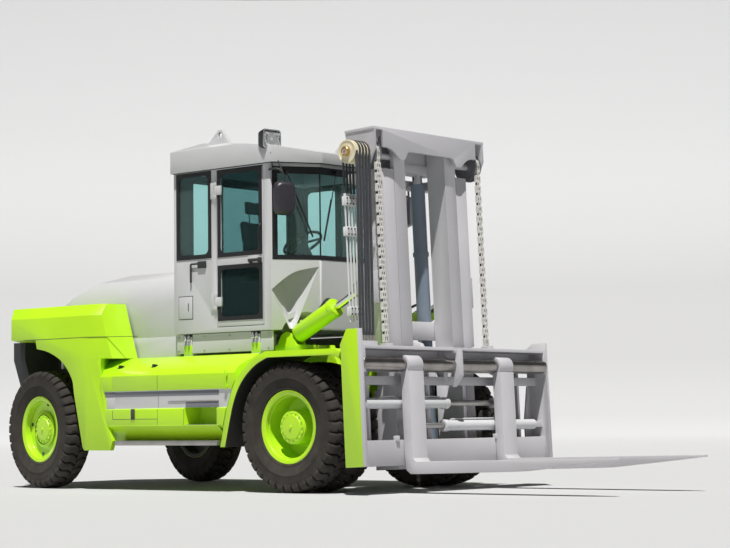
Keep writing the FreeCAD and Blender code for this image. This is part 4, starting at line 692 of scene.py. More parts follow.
# ---- Colour breaks on the welded parts: the fork carriage's side plates are lime outside with a grey
# front edge, and the tanks carry a pressed band in grey along their length.
def split_off(piece, name, chosen, material, cut=None):
    """Part of a finished piece's skin as its own piece in another paint."""
    active(piece)
    body = body_of(piece["stands_for"])
    bpy.ops.object.mode_set(mode="EDIT")
    bpy.ops.mesh.select_mode(type="FACE")
    bpy.ops.mesh.select_all(action="SELECT")
    if cut:
        bpy.ops.mesh.bisect(plane_co=cut[0], plane_no=cut[1])
    bpy.ops.mesh.select_all(action="DESELECT")
    bpy.ops.object.mode_set(mode="OBJECT")
    for face in piece.data.polygons:
        face.select = chosen(face.center, face.normal)
    bpy.ops.object.mode_set(mode="EDIT")
    bpy.ops.mesh.separate(type="SELECTED")
    bpy.ops.object.mode_set(mode="OBJECT")
    skin = [obj for obj in bpy.context.selected_objects if obj != piece][0]
    skin.name = name
    return dress(skin, material, body)


plate_front = LEAN @ Vector((1.105 - 0.030, 0, 0.8))
forward = LEAN.to_3x3() @ Vector((1, 0, 0))
split_off(finished["carriage_frame"], "carriage_sides",
          lambda c, n: abs(c.y) > 1.402 and abs(n.y) > 0.3 and (c - plate_front).dot(forward) < 0,
          "lime_paint", cut=(tuple(plate_front), tuple(forward)))
for side in (-1, 1):
    y0, y1 = sorted((side * 1.2675, side * 1.300))
    cut_from(finished["side_tanks"], plate_box((AXLE_X - 2.380, y0, 0.8115), (AXLE_X - 2.342, y1, 0.9765), 0.0001))
split_off(finished["side_tanks"], "tank_band",
          lambda c, n: 0.806 < c.z < 0.982 and 1.25 < abs(c.y) < 1.281 and abs(n.y) > 0.2 and abs(n.x) < 0.5
          and (c.z > 0.812 or not -0.77 < c.x < -0.31), "grey_paint")


# ---- Tank fittings: pressed steel doors held by over-centre latches, a filler lever, screwed treads and
# a drain, all bolted on after painting.
def truck_box(x0, x1, y0, y1, z0, z1, edge=0.003):
    return plate_box((AXLE_X + x0, y0, z0), (AXLE_X + x1, y1, z1), edge)


def fitted(name, paint, *boxes, slot=None, more=()):
    """Blocks on the right side, and whatever else goes with them, doubled across the truck."""
    return dress(mirrored_pair(name, [truck_box(*box) for box in boxes] + list(more)), paint, "chassis")


fitted("tank_seams", "dark_iron", *[(x0, x1, y, y + 0.0022, z0, z1, 0.0004) for x0, x1, y, z0, z1 in (
    (-1.707, -1.703, -1.2812, 0.990, 1.132), (-1.707, -1.703, -1.2812, 0.645, 0.798),
    (-2.360, -1.707, -1.2812, 0.703, 0.707), (-2.362, -2.358, -1.2812, 0.703, 0.798),
    (-1.334, -1.330, -1.2812, 0.645, 0.800), (-1.707, -1.703, -1.2672, 0.815, 0.975))])
# Slate strips along the band's top, over the band's end and over the step pocket's upper part: painted shadow of the
# overhang above the band and of the pocket's top.
band_shadow_paint = finish_material("slate_band", (0.1767, 0.1842, 0.2143), 0.4, spread=0.08, coat=0.2)
fitted("tank_band_slate", band_shadow_paint, (-2.345, -0.860, -1.2672, -1.2650, 0.928, 0.9765, 0.0005),
       (-1.318, -0.862, -1.2676, -1.2654, 0.8125, 0.868, 0.0005),
       (-2.480, -2.340, -1.2705, -1.2685, 0.928, 0.9770, 0.0005), slot="grey_paint")
fitted("tank_step_edge", "steel", (-1.560, -0.862, -1.2740, -1.2650, 0.8690, 0.8790, 0.002))
latches = []
for x in (-2.364, -1.870):
    latches += [(x - 0.032, x + 0.032, -1.182, -1.164, 1.212, 1.226),
                (x - 0.030, x + 0.034, -1.164, -1.146, 1.232, 1.246),
                (x - 0.006, x + 0.010, -1.190, -1.150, 1.208, 1.250)]
fitted("tank_latches", "dark_iron", *latches, (-2.084, -2.030, -1.290, -1.279, 0.700, 0.806, 0.004),
       (-2.068, -2.046, -1.298, -1.285, 0.716, 0.782, 0.004))
fitted("isolator_levers", "lime_paint", (-0.752, -0.734, -1.302, -1.292, 0.975, 1.165, 0.004),
       *[(-0.762, -0.724, -1.298, -1.279, z, z + 0.035) for z in (0.985, 1.105)])
treads = [(-1.325, -0.885, -1.275, -1.060, 0.6405, 0.646, 0.0015)]
for row in range(5):
    for col in range(14):
        x, y = -1.305 + col * 0.0309, -1.255 + row * 0.042
        treads.append((x - 0.010, x + 0.010, y - 0.0035, y + 0.0035, 0.6458, 0.6488, 0.0008))
ribs = [(x - 0.004, x + 0.004, -1.272, -1.098, 0.4895, 0.4935, 0.0012) for x in [-2.31 + 0.060 * k for k in range(24)]]
fitted("step_treads", "steel", *treads, *ribs)

# ---- Window seals: extruded black rubber, mitred round the rear pane with its corners moulded to a radius,
# gripping the glass inside and lapping the cab's skin outside; the other panes get black borders.
CAB_Y = 0.950


SEAL_LAP, SEAL_GRIP, SEAL_FRONT, SEAL_BACK, CORNER_R = 0.012, 0.024, 0.004, 0.021, 0.055
FRIT_EDGE, FRIT_LIFT, FRIT_T, CORNER_STEPS = 0.042, 0.003, 0.005, 6


def seal(centre, along, up, wide, high):
    """Rounded ring round an opening; along and up span it, and its outside looks along x up."""
    bpy.ops.mesh.primitive_plane_add(size=1)
    ring = active(bpy.context.object)
    ring.scale = (wide + 2 * SEAL_LAP, high + 2 * SEAL_LAP, 1)
    bpy.ops.object.transform_apply()

    def open_middle():
        bpy.ops.mesh.inset(thickness=SEAL_LAP + SEAL_GRIP)
        bpy.ops.mesh.delete(type="FACE")

    edit_all(ring, lambda: bpy.ops.mesh.bevel(offset=CORNER_R, segments=5, affect="VERTICES"), open_middle)
    edge_rounded(applied(ring, "SOLIDIFY", thickness=SEAL_FRONT + SEAL_BACK, offset=0), 0.0035)
    along, up = Vector(along), Vector(up)
    out = along.cross(up)
    frame_of = Matrix((along, up, out)).transposed().to_4x4()
    ring.data.transform(Matrix.Translation(Vector(centre) + out * (SEAL_FRONT - SEAL_BACK) / 2) @ frame_of)
    return ring


def frit(centre, along, up, wide, high):
    """Black printed border, square outside and rounded inside, as a thin sheet on the skin."""
    centre, along, up = Vector(centre), Vector(along), Vector(up)
    out, points, faces = along.cross(up), [], []
    per_corner = CORNER_STEPS + 2
    for k, (sx, sy) in enumerate(((-1, -1), (1, -1), (1, 1), (-1, 1))):
        points.append((sx * wide / 2, sy * high / 2))
        cx, cy = sx * (wide / 2 - FRIT_EDGE - CORNER_R), sy * (high / 2 - FRIT_EDGE - CORNER_R)
        for step in range(CORNER_STEPS + 1):
            turn = math.pi * (1 + k / 2) + math.pi / 2 * step / CORNER_STEPS
            points.append((cx + CORNER_R * math.cos(turn), cy + CORNER_R * math.sin(turn)))
        first, after = per_corner * k, per_corner * ((k + 1) % 4)
        faces.append([first] + [first + per_corner - 1 - step for step in range(CORNER_STEPS + 1)])
        faces.append([after, after + 1, first + per_corner - 1, first])
    ring = face_outward(skin_of("frit", [centre + along * a + up * b + out * FRIT_LIFT for a, b in points], faces))
    return applied(ring, "SOLIDIFY", thickness=FRIT_T, offset=0.0)


def on_side(maker, x0, x1, z0, z1, side):
    """Ring made round an opening in the cab's side."""
    centre = (AXLE_X + (x0 + x1) / 2, side * CAB_Y, (z0 + z1) / 2)
    return maker(centre, (-side, 0, 0), (0, 0, 1), x1 - x0, z1 - z0)


def frit(centre, along, up, wide, high, edge=0.042, radius=0.055, lift=0.003):
    """Black printed border, square outside and rounded inside, as a thin sheet on the skin."""
    centre, along, up = Vector(centre), Vector(along), Vector(up)
    out, points, faces = along.cross(up), [], []
    for k in range(4):
        sx, sy = ((-1, -1), (1, -1), (1, 1), (-1, 1))[k]
        points.append((sx * wide / 2, sy * high / 2))
        cx, cy = sx * (wide / 2 - edge - radius), sy * (high / 2 - edge - radius)
        for step in range(7):
            turn = math.pi * (1 + k / 2) + math.pi / 12 * step
            points.append((cx + radius * math.cos(turn), cy + radius * math.sin(turn)))
        faces.append([8 * k] + [8 * k + 7 - step for step in range(7)])
        after = 8 * ((k + 1) % 4)
        faces.append([8 * k, 8 * k + 7, after + 1, after][::-1])
    ring = face_outward(skin_of("frit", [centre + along * a + up * b + out * lift for a, b in points], faces))
    return applied(ring, "SOLIDIFY", thickness=0.005, offset=0.0)


def band(name, plan, z0, z1, thick):
    """Upright strip that follows a line in plan, given as (x from the axle, y)."""
    count = len(plan)
    strip = skin_of(name, [(AXLE_X + x, y, z) for z in (z0, z1) for x, y in plan],
                    [(k, k + 1, count + k + 1, count + k) for k in range(count - 1)])
    return applied(strip, "SOLIDIFY", thickness=thick, offset=0.0, use_even_offset=True)


# The windscreen wraps both front corners without a post: the shell's corner posts are cut between the
# waist and the roof, and three bonded panes meet at thin black joints.
SCREEN = [(-0.452, -0.937), (-0.200, -0.525), (-0.200, 0.525), (-0.452, 0.937)]
for side in (-1, 1):
    corner = Vector((AXLE_X - 0.2, side * 0.525, 0))
    post = plate_box((AXLE_X - 0.290, side * 0.545 - 0.085, 2.2375), (AXLE_X - 0.150, side * 0.545 + 0.085, 3.108))
    post.data.transform(Matrix.Translation(corner) @ Matrix.Rotation(side * math.radians(15.7), 4, "Z")
                        @ Matrix.Translation(-corner))
    cut_from(finished["cab_shell"], post)
inset = [(-0.462, -0.931), (-0.212, -0.519), (-0.212, 0.519), (-0.462, 0.931)]
panes = [band("pane", inset, 2.236, 3.109, 0.006)]
panes += [band("pane", [(-1.738, side * 0.938), (-1.287, side * 0.938)], 2.306, 3.129, 0.006) for side in (-1, 1)]
panes.append(band("pane", [(-1.788, -0.719), (-1.788, 0.719)], 2.306, 3.109, 0.006))
fit("cab_panes", panes, "cab_window", "chassis", stands_for=["cab_glass"])
front_border = [band("border", SCREEN, 3.055, 3.125, 0.005), band("border", SCREEN, 2.222, 2.266, 0.005)]
for side in (-1, 1):
    for plan, thick in (([(-0.452, side * 0.937), (-0.424, side * 0.891)], 0.005),
                        ([(-0.2045, side * 0.532), (-0.2, side * 0.525), (-0.2, side * 0.518)], 0.004)):
        front_border.append(band("border", plan, 2.24, 3.08, thick))
cab_seals = []
for side, hand in HANDS:
    cab_seals.append(on_side(frit, -1.762, -1.268, 2.283, 3.150, side))
    door = [on_side(frit, -1.180, -0.572, z0, z1, side) for z0, z1 in ((2.280, 3.140), (1.655, 2.200))]
    fit("door_seals_" + hand, door, "black_plastic", "door_" + hand)
cab_seals.append(seal((AXLE_X - 1.800, 0, (2.305 + 3.110) / 2), (0, -1, 0), (0, 0, 1), 1.440, 0.805))
cab_seals += front_border
fit("cab_seals", cab_seals, "black_plastic", "chassis")

# ---- Wipers: thin pressed arms on a spindle under the roof, each with a rubber blade on the glass.
wipers = []
for side in (-1, 1):
    for top, foot in (((-0.377, 0.814, 3.060), (-0.250, 0.606, 2.470)),
                      ((-0.200, 0.316, 3.090), (-0.200, 0.490, 2.440))):
        lift = Vector((0.022, side * 0.013, 0)) if top[0] < -0.3 else Vector((0.024, 0, 0))
        start = Vector((AXLE_X + top[0], side * top[1], top[2])) + lift
        end = Vector((AXLE_X + foot[0], side * foot[1], foot[2])) + lift
        wipers.append(tube("arm", [start, (start + end) / 2 + lift * 0.6, end], 0.0055, 2))
        wipers.append(tube("blade", [start.lerp(end, 0.42), end.lerp(start, -0.05)], 0.009, 2))
        wipers.append(tube("spindle", [start - lift * 1.6, start + lift * 0.8], 0.017, 3))
fit("wipers", wipers, "black_plastic", "chassis")

# ---- Cab feet: the front carriers stand under the door's post, each on two studs; black sheets behind the studs are painted shadow in the gap between carrier and cab.
for v in finished["cab_mounts"].data.vertices:
    if -0.90 < v.co.x - AXLE_X < -0.70:
        v.co.x += 0.110
foot_x = (-1.630, -0.690)
# Black sheets behind the studs: painted shadow in the gap between each carrier and the cab.
fitted("cab_foot_gaps", "black_plastic",
       *[(x - 0.062, x + 0.062, -0.9275, -0.925, 1.432, 1.540, 0.001) for x in foot_x])
studs = []
for x in [foot + dx for foot in foot_x for dx in (-0.024, 0.024)]:
    studs.append(tube("stud", from_axle((x, -0.940, 1.425), (x, -0.940, 1.528)), 0.012, 3))
    studs.append(hexagon(0.020, 0.018, Vector((AXLE_X + x, -0.940, 1.478)), (0, 0, 1)))
fitted("cab_foot_studs", "chrome", more=studs)

# ---- Cab fittings: lock cases, pull handles, a wiring hatch, skirt screws and the carriers' lime faces.
fitted("cab_locks", "dark_iron", (-1.450, -1.340, -0.972, -0.948, 2.190, 2.258, 0.006),
       (-1.545, -1.440, -0.974, -0.962, 2.226, 2.244, 0.005), (-1.552, -1.534, -0.978, -0.962, 2.050, 2.236, 0.005))
pull = joined("door_pull_right", [truck_box(*box, 0.006) for box in (
    (-0.735, -0.580, -0.992, -0.974, 2.212, 2.240), (-0.735, -0.705, -0.980, -0.948, 2.200, 2.250),
    (-0.615, -0.580, -0.980, -0.948, 2.200, 2.250))])
flipped = mirrored(pull)
dress(pull, "dark_iron", "door_right")
dress(flipped, "dark_iron", "door_left").name = "door_pull_left"
fitted("wiring_hatch", "grey_paint", (-1.730, -1.540, -0.955, -0.949, 1.695, 1.915, 0.004))
fitted("hatch_gap", "dark_iron", (-1.737, -1.533, -0.9515, -0.949, 1.688, 1.922, 0.0005),
       (-1.600, -1.590, -0.957, -0.953, 1.770, 1.850, 0.001))
fitted("cab_screws", "steel", more=[hexagon(0.010, 0.008, Vector((AXLE_X + x, -0.9245, z)), (0, -1, 0))
                                    for x in (-1.76, -1.40, -1.05, -0.52) for z in (1.375, 1.515)])
fitted("cab_carriers", "lime_paint", *[(x, x + 0.120, -0.9305, -0.9245, 1.330, 1.434) for x in (-1.690, -0.750)])
for side, hand in HANDS:
    bend = ((0.951, 2.330), (0.985, 2.345), (0.985, 2.560), (0.951, 2.575))
    grip = tube("grip", from_axle(*[(-0.590, side * y, z) for y, z in bend]), 0.009)
    dress(grip, "black_plastic", "door_" + hand).name = "door_grip_" + hand


# ---- Corner scoops: a folded and welded half cone lets each tilt cylinder pass the cab's front corner.
corner_run, corner_in = Vector((0.5219, 0.8534, 0)), Vector((-0.8534, 0.5219, 0))
scoop_foot = [(0.180, 1.556), (0.198, 1.553), (0.214, 1.553), (0.234, 1.556)]
scoop_top = [(0.004, 1.931), (0.157, 2.071), (0.320, 2.134), (0.483, 2.153)]


def bend_through(points, count):
    """Evenly spaced places along a smooth line through a few points."""
    mesh = line_mesh("line", [(a, b, 0) for a, b in points], 12)
    places = [v.co.copy() for v in mesh.vertices]
    return [places[round(k * (len(places) - 1) / (count - 1))] for k in range(count)]


scoops = []
ACROSS, SCOOP_DEEP = 17, 0.235
foot_line, top_line = bend_through(scoop_foot, ACROSS), bend_through(scoop_top, ACROSS)
for side in (-1, 1):
    flip = Matrix.Scale(-side, 4, (0, 1, 0))
    corner = Vector((AXLE_X - 0.460, -0.950, 0))

    def on_corner(place, depth):
        return flip @ (corner + corner_run * place.x + corner_in * depth + Vector((0, 0, place.y)))

    places, rows = [], (0.0, 0.12, 0.25, 0.40, 0.55, 0.70, 0.85, 0.97, 1.0, 1.0)
    for row, v in enumerate(rows):
        for k, (low, high) in enumerate(zip(foot_line, top_line)):
            swell = math.sin(math.pi * k / (ACROSS - 1)) ** 0.75
            depth = 0.0 if row == len(rows) - 1 else SCOOP_DEEP * v ** 0.45 * swell
            places.append(on_corner(low.lerp(high, v), depth + 0.0005))
    starts = [ACROSS * r + k for r in range(len(rows) - 1) for k in range(ACROSS - 1)]
    scoop = skin_of("scoop", places, [(a, a + 1, a + ACROSS + 1, a + ACROSS) for a in starts])
    scoops.append(smooth_within(applied(scoop, "SOLIDIFY", thickness=0.003, offset=0.0), 40))
    walls = ([on_corner(place, deep) for place in foot_line + top_line[::-1]] for deep in (-0.03, 0.075))
    cut_from(finished["cab_shell"], prism("opening", *walls))
fit("corner_scoops", scoops, "grey_paint", "chassis")


# ---- Under the wings and behind the tanks: black underseal inside each front fender and each steered
# rim, its dark also standing as painted shade there; the ballast cover notched over the tank and drawn in
# towards the cab, the plates that close off tank and notch, and the cover's panel gaps.
# Inner faces of each front fender in dark iron: underseal, and painted shade under the wing.
split_off(finished["front_fenders"], "fender_underseal",
          lambda centre, normal: (centre.x - AXLE_X) * normal.x + (centre.z - AXLE_Z) * normal.z
          < -0.35 * math.hypot(centre.x - AXLE_X, centre.z - AXLE_Z), "dark_iron")
# Inner faces of each steered rim in dark iron: partly black paint and dirt, partly painted shade inside the wheel.
for side, hand in HANDS:
    to_wheel = wheel_place["rear_" + hand].inverted()
    split_off(finished["rear_rim_" + hand], "rear_rim_inside_" + hand,
              lambda centre, normal: (to_wheel @ centre).y * side < 0.043
              and math.hypot((to_wheel @ centre).x, (to_wheel @ centre).z) < 0.332, "dark_iron")
for side in (-1, 1):
    plan = [(-2.491, side * 1.356), (-2.796, side * 0.930), (-2.000, side * 0.930), (-2.000, side * 1.356)]
    floor_and_top = (from_axle(*[(x, y, z) for x, y in plan]) for z in (1.120, 1.3265))
    cut_from(finished["counterweight"], prism("notch", *floor_and_top))
WING_X, WING_RUN, WING_IN, WING_BACK = AXLE_X - 2.760, 0.760, 0.320, 0.235
edit_all(finished["counterweight"], lambda: bpy.ops.mesh.bisect(plane_co=(WING_X, 0, 0), plane_no=(1, 0, 0)),
         lambda: bpy.ops.mesh.bisect(plane_co=(0, 0, 1.3290), plane_no=(0, 0, 1)))
for v in finished["counterweight"].data.vertices:
    ahead = min(1.0, max(0.0, (v.co.x - WING_X) / WING_RUN))
    if v.co.z > 1.325 and abs(v.co.y) > 0.90 and ahead > 0:
        outer = min(1.0, (abs(v.co.y) - 0.90) / 0.38)
        v.co.y -= math.copysign(WING_IN * ahead * outer, v.co.y)
        v.co.x -= WING_BACK * ahead * outer
profile = [(-1.281, 0.990, -2.500), (-1.281, 1.137, -2.545), (-0.945, 1.325, -2.785), (-0.945, 0.990, -2.700)]
closer = edge_rounded(prism("closing_plate", from_axle(*[(x, y, z) for y, z, x in profile]),
                            from_axle(*[(-2.366, y, z) for y, z, x in profile])), 0.006)
slope = skin_of("slope", from_axle((-2.425, -1.2815, 0.641), (-0.862, -1.2815, 0.641), (-0.862, -1.128, 0.488),
                                   (-2.530, -1.128, 0.488)), [(0, 1, 2, 3)])
applied(slope, "SOLIDIFY", thickness=0.004, offset=0.0)
rear_plan = [(-2.536, -1.277), (-2.800, -0.905), (-2.812, -0.913), (-2.548, -1.285)]
rear_closer = prism("rear_closer", *(from_axle(*[(x, y, z) for x, y in rear_plan]) for z in (1.100, 1.3280)))
dress(mirrored_pair("closing_plates", [closer, slope, rear_closer]), "lime_paint", "chassis")
fitted("tank_band_ends", "grey_paint", (-2.480, -2.340, -1.2690, -1.2640, 0.806, 0.9830, 0.001))
slanted = truck_box(-2.760, -2.082, -1.2850, -1.2790, 1.5440, 1.5490, 0.0005)
for v in slanted.data.vertices:
    ahead = (v.co.x - WING_X) / WING_RUN
    v.co.y += WING_IN * ahead
    v.co.x -= WING_BACK * ahead
fitted("cover_gaps", "dark_iron", (-3.74, -2.760, -1.2812, -1.2790, 1.5440, 1.5490, 0.0005), more=[slanted])

# ---- Cab lining: charcoal felt and moulded board over the inside of the shell and roof.
lining_board = finish_material("lining_board", (0.0226, 0.0286, 0.0301), 0.9, spread=0.2, scale=30, peel=(500, 0.3))


def inside_cab(centre, normal):
    x, y = centre.x - AXLE_X, abs(centre.y)
    clear_of_corner = (x + 0.46) * 0.853 + (y - 0.95) * 0.522 < -0.010
    return (-1.795 < x < -0.205 and y < 0.945 and 1.550 < centre.z < 3.150 and clear_of_corner
            and (centre.x - AXLE_X + 1.0) * normal.x + centre.y * normal.y + (centre.z - 2.35) * normal.z < 0)


split_off(finished["cab_shell"], "cab_lining", inside_cab, lining_board)
split_off(finished["cab_roof"], "cab_headlining", lambda centre, normal: normal.z < -0.5 and abs(centre.y) < 0.93
          and -1.79 < centre.x - AXLE_X < -0.21, lining_board)


# ---- Work lamps: moulded housings with a faceted bright reflector behind the lens, each on a pressed
# stand over the roof's front corner with a lead looped down to the fascia.
def turned(parts, place, heading):
    """Parts made looking along +X at the origin, turned about Z and set down."""
    for part in parts:
        part.data.transform(Matrix.Translation(Vector(place)) @ Matrix.Rotation(math.radians(heading), 4, "Z"))
    return parts


def shell_box(size, edge, rim, deep, corner, face_x=1):
    """Moulded housing with deep round edges and a sunk face looking along X."""
    bpy.ops.mesh.primitive_cube_add(size=1)
    shell = active(bpy.context.object)
    shell.scale = size
    bpy.ops.object.transform_apply()
    for v in shell.data.vertices:
        if v.co.x * face_x < 0:
            v.co.y *= 0.80
            v.co.z *= 0.82

    def select_where(kind, chosen):
        bpy.ops.object.mode_set(mode="EDIT")
        bpy.ops.mesh.select_mode(type=kind)
        bpy.ops.mesh.select_all(action="DESELECT")
        bpy.ops.object.mode_set(mode="OBJECT")
        for element in shell.data.edges if kind == "EDGE" else shell.data.polygons:
            element.select = chosen(element)
        bpy.ops.object.mode_set(mode="EDIT")

    def runs_along_x(edge_line):
        a, b = (shell.data.vertices[k].co for k in edge_line.vertices)
        return abs(a.x - b.x) > 0.5 * size[0]

    select_where("EDGE", runs_along_x)
    bpy.ops.mesh.bevel(offset=corner, segments=5)
    bpy.ops.object.mode_set(mode="OBJECT")
    edge_rounded(shell, edge, 4, 50)
    select_where("FACE", lambda face: face.normal.x * face_x > 0.99)
    bpy.ops.mesh.inset(thickness=rim)
    bpy.ops.transform.translate(value=(-face_x * deep, 0, 0))
    bpy.ops.object.mode_set(mode="OBJECT")
    return shell


reflector_silver = finish_material("reflector_silver", (0.86, 0.87, 0.86), 0.20, metal=0.6, spread=0.1, scale=60)
lens_clear, lens_tree, lens_bsdf = node_material("lens_clear")
set_inputs(lens_bsdf, {"Roughness": 0.05, "Alpha": 0.25})
grain(lens_tree, lens_bsdf, tone(lens_tree, lens_bsdf, (0.85, 0.88, 0.90), 40, 0.05), 90, 0.5)


BEZEL_STEPS, BEZEL_BACK, BEZEL_FRONT, BEZEL_IN = 24, 0.038, 0.0535, 0.046


def bezel(wide, high, corner, lip):
    """Bright rim with rounded corners round a lamp's lens."""
    places, n = [], BEZEL_STEPS
    for ring, x in ((0.0, BEZEL_BACK), (0.0, BEZEL_FRONT), (lip, BEZEL_FRONT), (lip, BEZEL_IN)):
        for k in range(n):
            across, rise = math.cos(math.tau * (k + 0.5) / n), math.sin(math.tau * (k + 0.5) / n)
            y = math.copysign(wide / 2 - corner, across) + (corner - ring) * across
            z = math.copysign(high / 2 - corner, rise) + (corner - ring) * rise
            places.append((x, y, z))
    faces = [(n * r + k, n * r + (k + 1) % n, n * r + n + (k + 1) % n, n * r + n + k)
             for r in range(3) for k in range(n)]
    return smooth_within(skin_of("bezel", places, faces), 40)


housings, reflectors, lenses, brackets, rims = [], [], [], [], []
for side in (-1, 1):
    place, heading = (AXLE_X - 0.500, side * 0.925, 3.386), side * 6
    housings += turned([shell_box((0.100, 0.236, 0.196), 0.012, 0.007, 0.006, 0.034)], place, heading)
    rims += turned([bezel(0.226, 0.186, 0.034, 0.012)], place, heading)
    facets = []
    for k in range(-4, 5):
        for row in range(-2, 3):
            bulge = 0.018 - 0.00018 * (k * k * 10 + row * row * 22)
            facets.append(plate_box((0.034 - bulge, k * 0.021 - 0.0098, row * 0.026 - 0.0122),
                                    (0.040 - bulge, k * 0.021 + 0.0098, row * 0.026 + 0.0122), 0.002))
    reflectors += turned(facets, place, heading)
    bulb = spun("bulb", [(0.024, 0.020), (0.016, 0.046), (0.0, 0.048)], 16)
    bulb.data.transform(Matrix.Rotation(-math.pi / 2, 4, "Z"))
    reflectors += turned([bulb], place, heading)
    lenses += turned([plate_box((0.0455, -0.098, -0.071), (0.0485, 0.098, 0.071), 0.001)], place, heading)
    brackets += turned([plate_box((-0.030, -0.028, -0.125), (0.012, 0.028, -0.075), 0.006),
                        plate_box((-0.020, -0.055, -0.225), (0.080, 0.055, -0.110), 0.010)], place, heading)
    brackets.append(tube("lead", from_axle((-0.49, side * 0.95, 3.30), (-0.40, side * 1.00, 3.27),
                                           (-0.41, side * 0.99, 3.20), (-0.42, side * 0.96, 3.12)), 0.006))
fit("lamp_housings", housings, "black_plastic", "chassis", stands_for=["lamps_and_mirrors"])
fit("lamp_reflectors", reflectors, reflector_silver, "chassis")
fit("lamp_rims", rims, "chrome", "chassis")
fit("lamp_lenses", lenses, lens_clear, "chassis")
fit("lamp_brackets", brackets, "dark_iron", "chassis")

# ---- Mirrors: deep plastic housings with well rounded corners on bent steel tube, glass to the rear.
mirror_plum = finish_material("mirror_plum", (0.0338, 0.0301, 0.0414), 0.38, spread=0.1, scale=12, peel=(600, 0.08))
shells, glasses, tubes = [], [], []
for side in (-1, 1):
    place, heading = (AXLE_X - 0.290, side * 0.925, 2.802), side * 26
    shells += turned([shell_box((0.070, 0.236, 0.345), 0.022, 0.010, 0.005, 0.066, -1)], place, heading)
    glasses += turned([plate_box((-0.030, -0.075, -0.118), (-0.027, 0.075, 0.118), 0.001)], place, heading)
    tubes.append(tube("stay", from_axle((-0.292, side * 0.930, 2.90), (-0.296, side * 0.935, 3.04),
                                        (-0.330, side * 0.960, 3.085), (-0.400, side * 0.985, 3.090),
                                        (-0.470, side * 0.952, 3.090)), 0.011))
    tubes.append(tube("brace", from_axle((-0.300, side * 0.932, 3.03), (-0.380, side * 0.935, 3.19)), 0.008))
fit("mirror_shells", shells, mirror_plum, "chassis")
fit("mirror_glass", glasses, "chrome", "chassis")
fit("mirror_stays", tubes, "dark_iron", "chassis")

# ---- Driver's place: the seat's pan and the steering column stand well back and high in the cab, so the
# driver sees down past the mast.
SEAT_BACK, SEAT_UP = -0.170, 0.130
for furniture, further in (("seat_base", 0.0), ("steering_console", 0.130)):
    for v in finished[furniture].data.vertices:
        v.co.x += SEAT_BACK - further
        v.co.z += SEAT_UP * min(1.0, max(0.0, (v.co.z - 1.60) / 0.25))


# ---- Driver's seat: foam pads in woven black cloth over a pressed pan, sewn with two channels down each
# pad and a separate headrest on chromed posts.
PUFF, CHANNEL_HALF, CHANNEL_DEEP = 0.024, 0.009, 0.012


def pad(name, low, high, lean_back=0.0, channels=(), face=2):
    """Blown cushion between two corners; channels are places across Y, pressed into the given face."""
    low = Vector((AXLE_X + SEAT_BACK + low[0], low[1], SEAT_UP + low[2]))
    high = Vector((AXLE_X + SEAT_BACK + high[0], high[1], SEAT_UP + high[2]))
    shrink = Vector((0.012, 0.012, 0.012))
    cushion = applied(plate_box(low + shrink, high - shrink, 0.030), "REMESH", mode="VOXEL", voxel_size=0.006)
    rest = [v.co.copy() for v in cushion.data.vertices]
    cloth = cushion.modifiers.new("cloth", "CLOTH")
    cloth.settings.use_pressure = True
    cloth.settings.uniform_pressure_force = 4.0
    cloth.settings.effector_weights.gravity = 0.0
    cloth.point_cache.frame_start, cloth.point_cache.frame_end = 1, 20
    for step in range(1, 21):
        bpy.context.scene.frame_set(step)
    bpy.ops.object.modifier_apply(modifier="cloth")
    bpy.context.scene.frame_set(1)
    for v, before in zip(cushion.data.vertices, rest):
        moved = v.co - before
        if moved.length > PUFF:
            v.co = before + moved.normalized() * PUFF
        for across in channels:
            gap = (v.co.y - across) / CHANNEL_HALF
            outer = (v.co[face] - (low[face] + high[face]) / 2) / ((high[face] - low[face]) / 2)
            if outer > 0.4:
                v.co[face] -= CHANNEL_DEEP * math.exp(-gap * gap) * min(1, (outer - 0.4) * 3)
        v.co = Vector([min(max(c, a), b) for c, a, b in zip(v.co, low, high)])
    base = Matrix.Translation(Vector((low.x, 0, low.z)))
    cushion.data.transform(base @ Matrix.Rotation(-lean_back, 4, "Y") @ base.inverted())
    active(cushion)
    bpy.ops.object.shade_smooth()
    cushion.name = name
    dress(cushion, "seat_fabric", "chassis")
    return cushion


seat = pad("seat_pad", (-1.418, -0.243, 1.992), (-0.912, 0.243, 2.108), channels=(-0.12, 0.12))
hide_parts("seat_cushions")
pad("back_pad", (-1.400, -0.230, 2.118), (-1.300, 0.230, 2.610), 0.139, channels=(-0.11, 0.11), face=0)
pad("head_pad", (-1.462, -0.140, 2.650), (-1.382, 0.140, 2.812), 0.10, face=0)
posts = [tube("post", [(AXLE_X + SEAT_BACK + x, y, SEAT_UP + z)
                       for x, z in ((-1.425, 2.56), (-1.432, 2.64), (-1.436, 2.70))], 0.007) for y in (-0.07, 0.07)]
fit("headrest_posts", posts, "chrome", "chassis")

